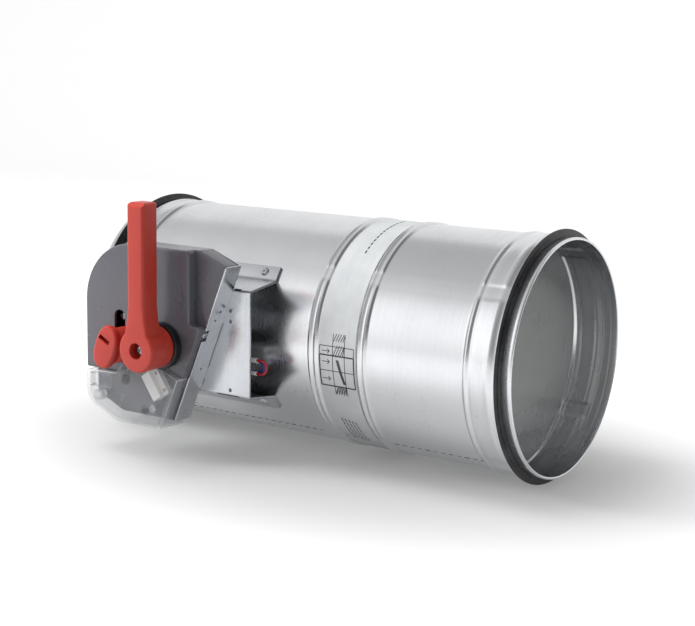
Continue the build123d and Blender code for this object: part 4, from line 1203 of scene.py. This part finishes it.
add(tree, "ShaderNodeOutputMaterial", {}, {"Surface": surface.outputs[0]})
kept_finishes = (
    (zinc_bright, (
        "upper_blade_stop", "lower_blade_stop", "front_pivot_pin", "rear_pivot_pin", "blade_lever",
        "lever_bolts", "lever_pin", "link_rod", "crank_arm", "crank_pin", "drive_shaft", "spring_drum",
        "latch_pawl", "latch_pin",
    )),
    (board, ("blade_core",)),
    (epdm, ("blade_seal",)),
    (graphite, ("swelling_strips",)),
    (bronze, ("front_pivot_bush", "rear_pivot_bush", "shaft_bush", "fuse_holder", "fuse_link")),
    (acetal, ("cam_disc", "open_switch", "shut_switch")),
    (pbt, ("lead_connector", "lead_sleeves")),
)
for finish, names in kept_finishes:
    for name in names:
        for slot in nodes[name].material_slots:
            slot.material = finish

# Studio: white paper under the part and curved up behind it, a bright front left and a dim right
# side from the world, and a soft bright patch there that gives the tube its broad highlight.
FLOOR_Z = cad_box[0][2] - 0.0002
FLOOR_REACH = 40.0
WALL_HALF = 5.0
BEND_AT = 1.6
BEND_R = 0.9
WALL_H = 4.0
points = [(x * FLOOR_REACH, y * FLOOR_REACH, FLOOR_Z) for x, y in ((-1, -1), (1, -1), (1, 1), (-1, 1))]
faces = [(0, 1, 2, 3)]
rise = []
for step in range(0, 91, 6):
    turn = math.radians(step)
    rise.append((BEND_AT + BEND_R * math.sin(turn), BEND_R * (1 - math.cos(turn))))
rise.append((BEND_AT + BEND_R, WALL_H))
points += [(x, y, FLOOR_Z + z) for y, z in rise for x in (-WALL_HALF, WALL_HALF)]
faces += [(2 * k + 4, 2 * k + 5, 2 * k + 7, 2 * k + 6) for k in range(len(rise) - 1)]
mesh = bpy.data.meshes.new("sweep")
mesh.from_pydata(points, [], faces)
mesh.shade_smooth()
# White paper: matt, and glowing white for camera, glossy and transmission rays. The glow fades close to the
# part, a painted shade under it that also darkens the tube's underside in reflection; the real cast shadow
# stays too.
POOL_NEAR = 0.09
POOL_FAR = 0.28
POOL_GLOW = (0.17, 0.74)
POOL_SHIFT = (-0.122, 0.02, 0.0)
POOL_SHAPE = (0.72, 1.0, 0.0)
paper, tree = blank("white_paper_sweep")
place = add(tree, "ShaderNodeTexCoord", {}, {})
away = add(tree, "ShaderNodeMapping", {}, {
    "Vector": place.outputs["Object"], "Location": POOL_SHIFT, "Scale": POOL_SHAPE,
})
away = add(tree, "ShaderNodeVectorMath", {"operation": "LENGTH"}, {0: away.outputs[0]})
# Painted shade: the glow is lowest near the part and rises to full white away from it.
painted_shade_pool = add(tree, "ShaderNodeMapRange", {"interpolation_type": "SMOOTHSTEP"}, {
    "Value": away.outputs["Value"], "From Min": POOL_NEAR, "From Max": POOL_FAR,
    "To Min": POOL_GLOW[0], "To Max": POOL_GLOW[1],
})
path = add(tree, "ShaderNodeLightPath", {}, {})
seen = add(tree, "ShaderNodeMath", {"operation": "ADD"}, {
    0: path.outputs["Is Camera Ray"], 1: path.outputs["Is Glossy Ray"],
})
seen = add(tree, "ShaderNodeMath", {"operation": "ADD", "use_clamp": True}, {
    0: seen.outputs[0], 1: path.outputs["Is Transmission Ray"],
})
glow = add(tree, "ShaderNodeMath", {"operation": "MULTIPLY"}, {0: seen.outputs[0], 1: painted_shade_pool.outputs[0]})
surface = add(tree, "ShaderNodeBsdfPrincipled", {}, {
    "Base Color": linear("#B2B2B2"), "Roughness": 0.95, "Specular IOR Level": 0.1,
    "Emission Color": linear("#FFFFFF"), "Emission Strength": glow.outputs[0],
})
add(tree, "ShaderNodeOutputMaterial", {}, {"Surface": surface.outputs[0]})
mesh.materials.append(paper)
floor = bpy.data.objects.new("sweep", mesh)
bpy.context.scene.collection.objects.link(floor)

BRIGHT_SIDE = (-0.9, -0.35, 0.25)
GLARE_SIDE = (-0.56, -0.76, 0.33)
GLARE_EDGE = 0.84
GLARE = 0.8
SKY = 0.88
world = bpy.data.worlds.new("studio")
bpy.context.scene.world = world
world.use_nodes = True
tree = world.node_tree
tree.nodes.clear()
look = add(tree, "ShaderNodeTexCoord", {}, {})
toward = add(tree, "ShaderNodeVectorMath", {"operation": "DOT_PRODUCT"}, {
    0: look.outputs["Generated"], 1: BRIGHT_SIDE,
})
spread = add(tree, "ShaderNodeMapRange", {}, {
    "Value": toward.outputs["Value"], "From Min": -1.0, "From Max": 1.0,
})
ramp = add(tree, "ShaderNodeValToRGB", {}, {"Fac": spread.outputs[0]})
stops = (
    (0.0, 0.06), (0.25, 0.12), (0.5, 0.3), (0.68, 0.58), (0.8, 0.66), (0.88, 0.8), (0.92, 0.92), (1.0, 1.0),
)
while len(ramp.color_ramp.elements) < len(stops):
    ramp.color_ramp.elements.new(0.5)
for element, (at, bright) in zip(ramp.color_ramp.elements, stops):
    element.position = at
    element.color = (bright, bright, bright, 1.0)
glare = add(tree, "ShaderNodeVectorMath", {"operation": "DOT_PRODUCT"}, {
    0: look.outputs["Generated"], 1: Vector(GLARE_SIDE).normalized(),
})
glare = add(tree, "ShaderNodeMapRange", {"interpolation_type": "SMOOTHSTEP"}, {
    "Value": glare.outputs["Value"], "From Min": GLARE_EDGE, "From Max": 1.0, "To Min": 0.0, "To Max": GLARE,
})
level = add(tree, "ShaderNodeMath", {"operation": "ADD"}, {0: ramp.outputs[0], 1: glare.outputs[0]})
sky = add(tree, "ShaderNodeBackground", {}, {"Color": level.outputs[0], "Strength": SKY})
add(tree, "ShaderNodeOutputWorld", {}, {"Surface": sky.outputs[0]})

AIM = Vector((0.17, 0.0, 0.0))
for name, toward, distance, wide, tall, power in (
    ("left_panel", (-0.79, -0.46, 0.41), 1.6, 0.5, 0.5, 18.0),
    ("top_panel", (-0.3, -0.2, 0.93), 1.6, 0.8, 0.8, 13.0),
    ("right_panel", (0.93, -0.2, 0.2), 1.6, 0.8, 0.8, 6.0),
):
    lamp = bpy.data.lights.new(name, "AREA")
    lamp.shape = "RECTANGLE"
    lamp.size = wide
    lamp.size_y = tall
    lamp.energy = power
    holder = bpy.data.objects.new(name, lamp)
    direction = Vector(toward).normalized()
    holder.location = AIM + direction * distance
    holder.rotation_euler = direction.to_track_quat("Z", "Y").to_euler()
    holder.visible_glossy = False
    bpy.context.scene.collection.objects.link(holder)

# Camera: a long lens at the photograph's angle, looking down ten degrees from the front right
# and rolled by one degree. The focal length is in pixels of a 695 pixel wide picture.
CAM_AT = Vector((0.75558, -0.86502, 0.19792))
FOCAL_PX = 1480.16
PICTURE_PX = 695
azimuth, elevation, roll = math.radians(34.033), math.radians(10.188), math.radians(1.054)
forward = Vector((
    -math.sin(azimuth) * math.cos(elevation), math.cos(azimuth) * math.cos(elevation), -math.sin(elevation),
))
flat_right = Vector((math.cos(azimuth), math.sin(azimuth), 0.0))
flat_up = flat_right.cross(forward)
right = flat_right * math.cos(roll) + flat_up * math.sin(roll)
up = flat_up * math.cos(roll) - flat_right * math.sin(roll)
lens = bpy.data.cameras.new("camera")
lens.sensor_fit = "HORIZONTAL"
lens.sensor_width = 36.0
lens.lens = FOCAL_PX / PICTURE_PX * lens.sensor_width
camera = bpy.data.objects.new("camera", lens)
camera.matrix_world = Matrix((
    (right.x, up.x, -forward.x, CAM_AT.x),
    (right.y, up.y, -forward.y, CAM_AT.y),
    (right.z, up.z, -forward.z, CAM_AT.z),
    (0, 0, 0, 1),
))
bpy.context.scene.collection.objects.link(camera)
bpy.context.scene.camera = camera
bpy.context.scene.view_settings.view_transform = "Standard"
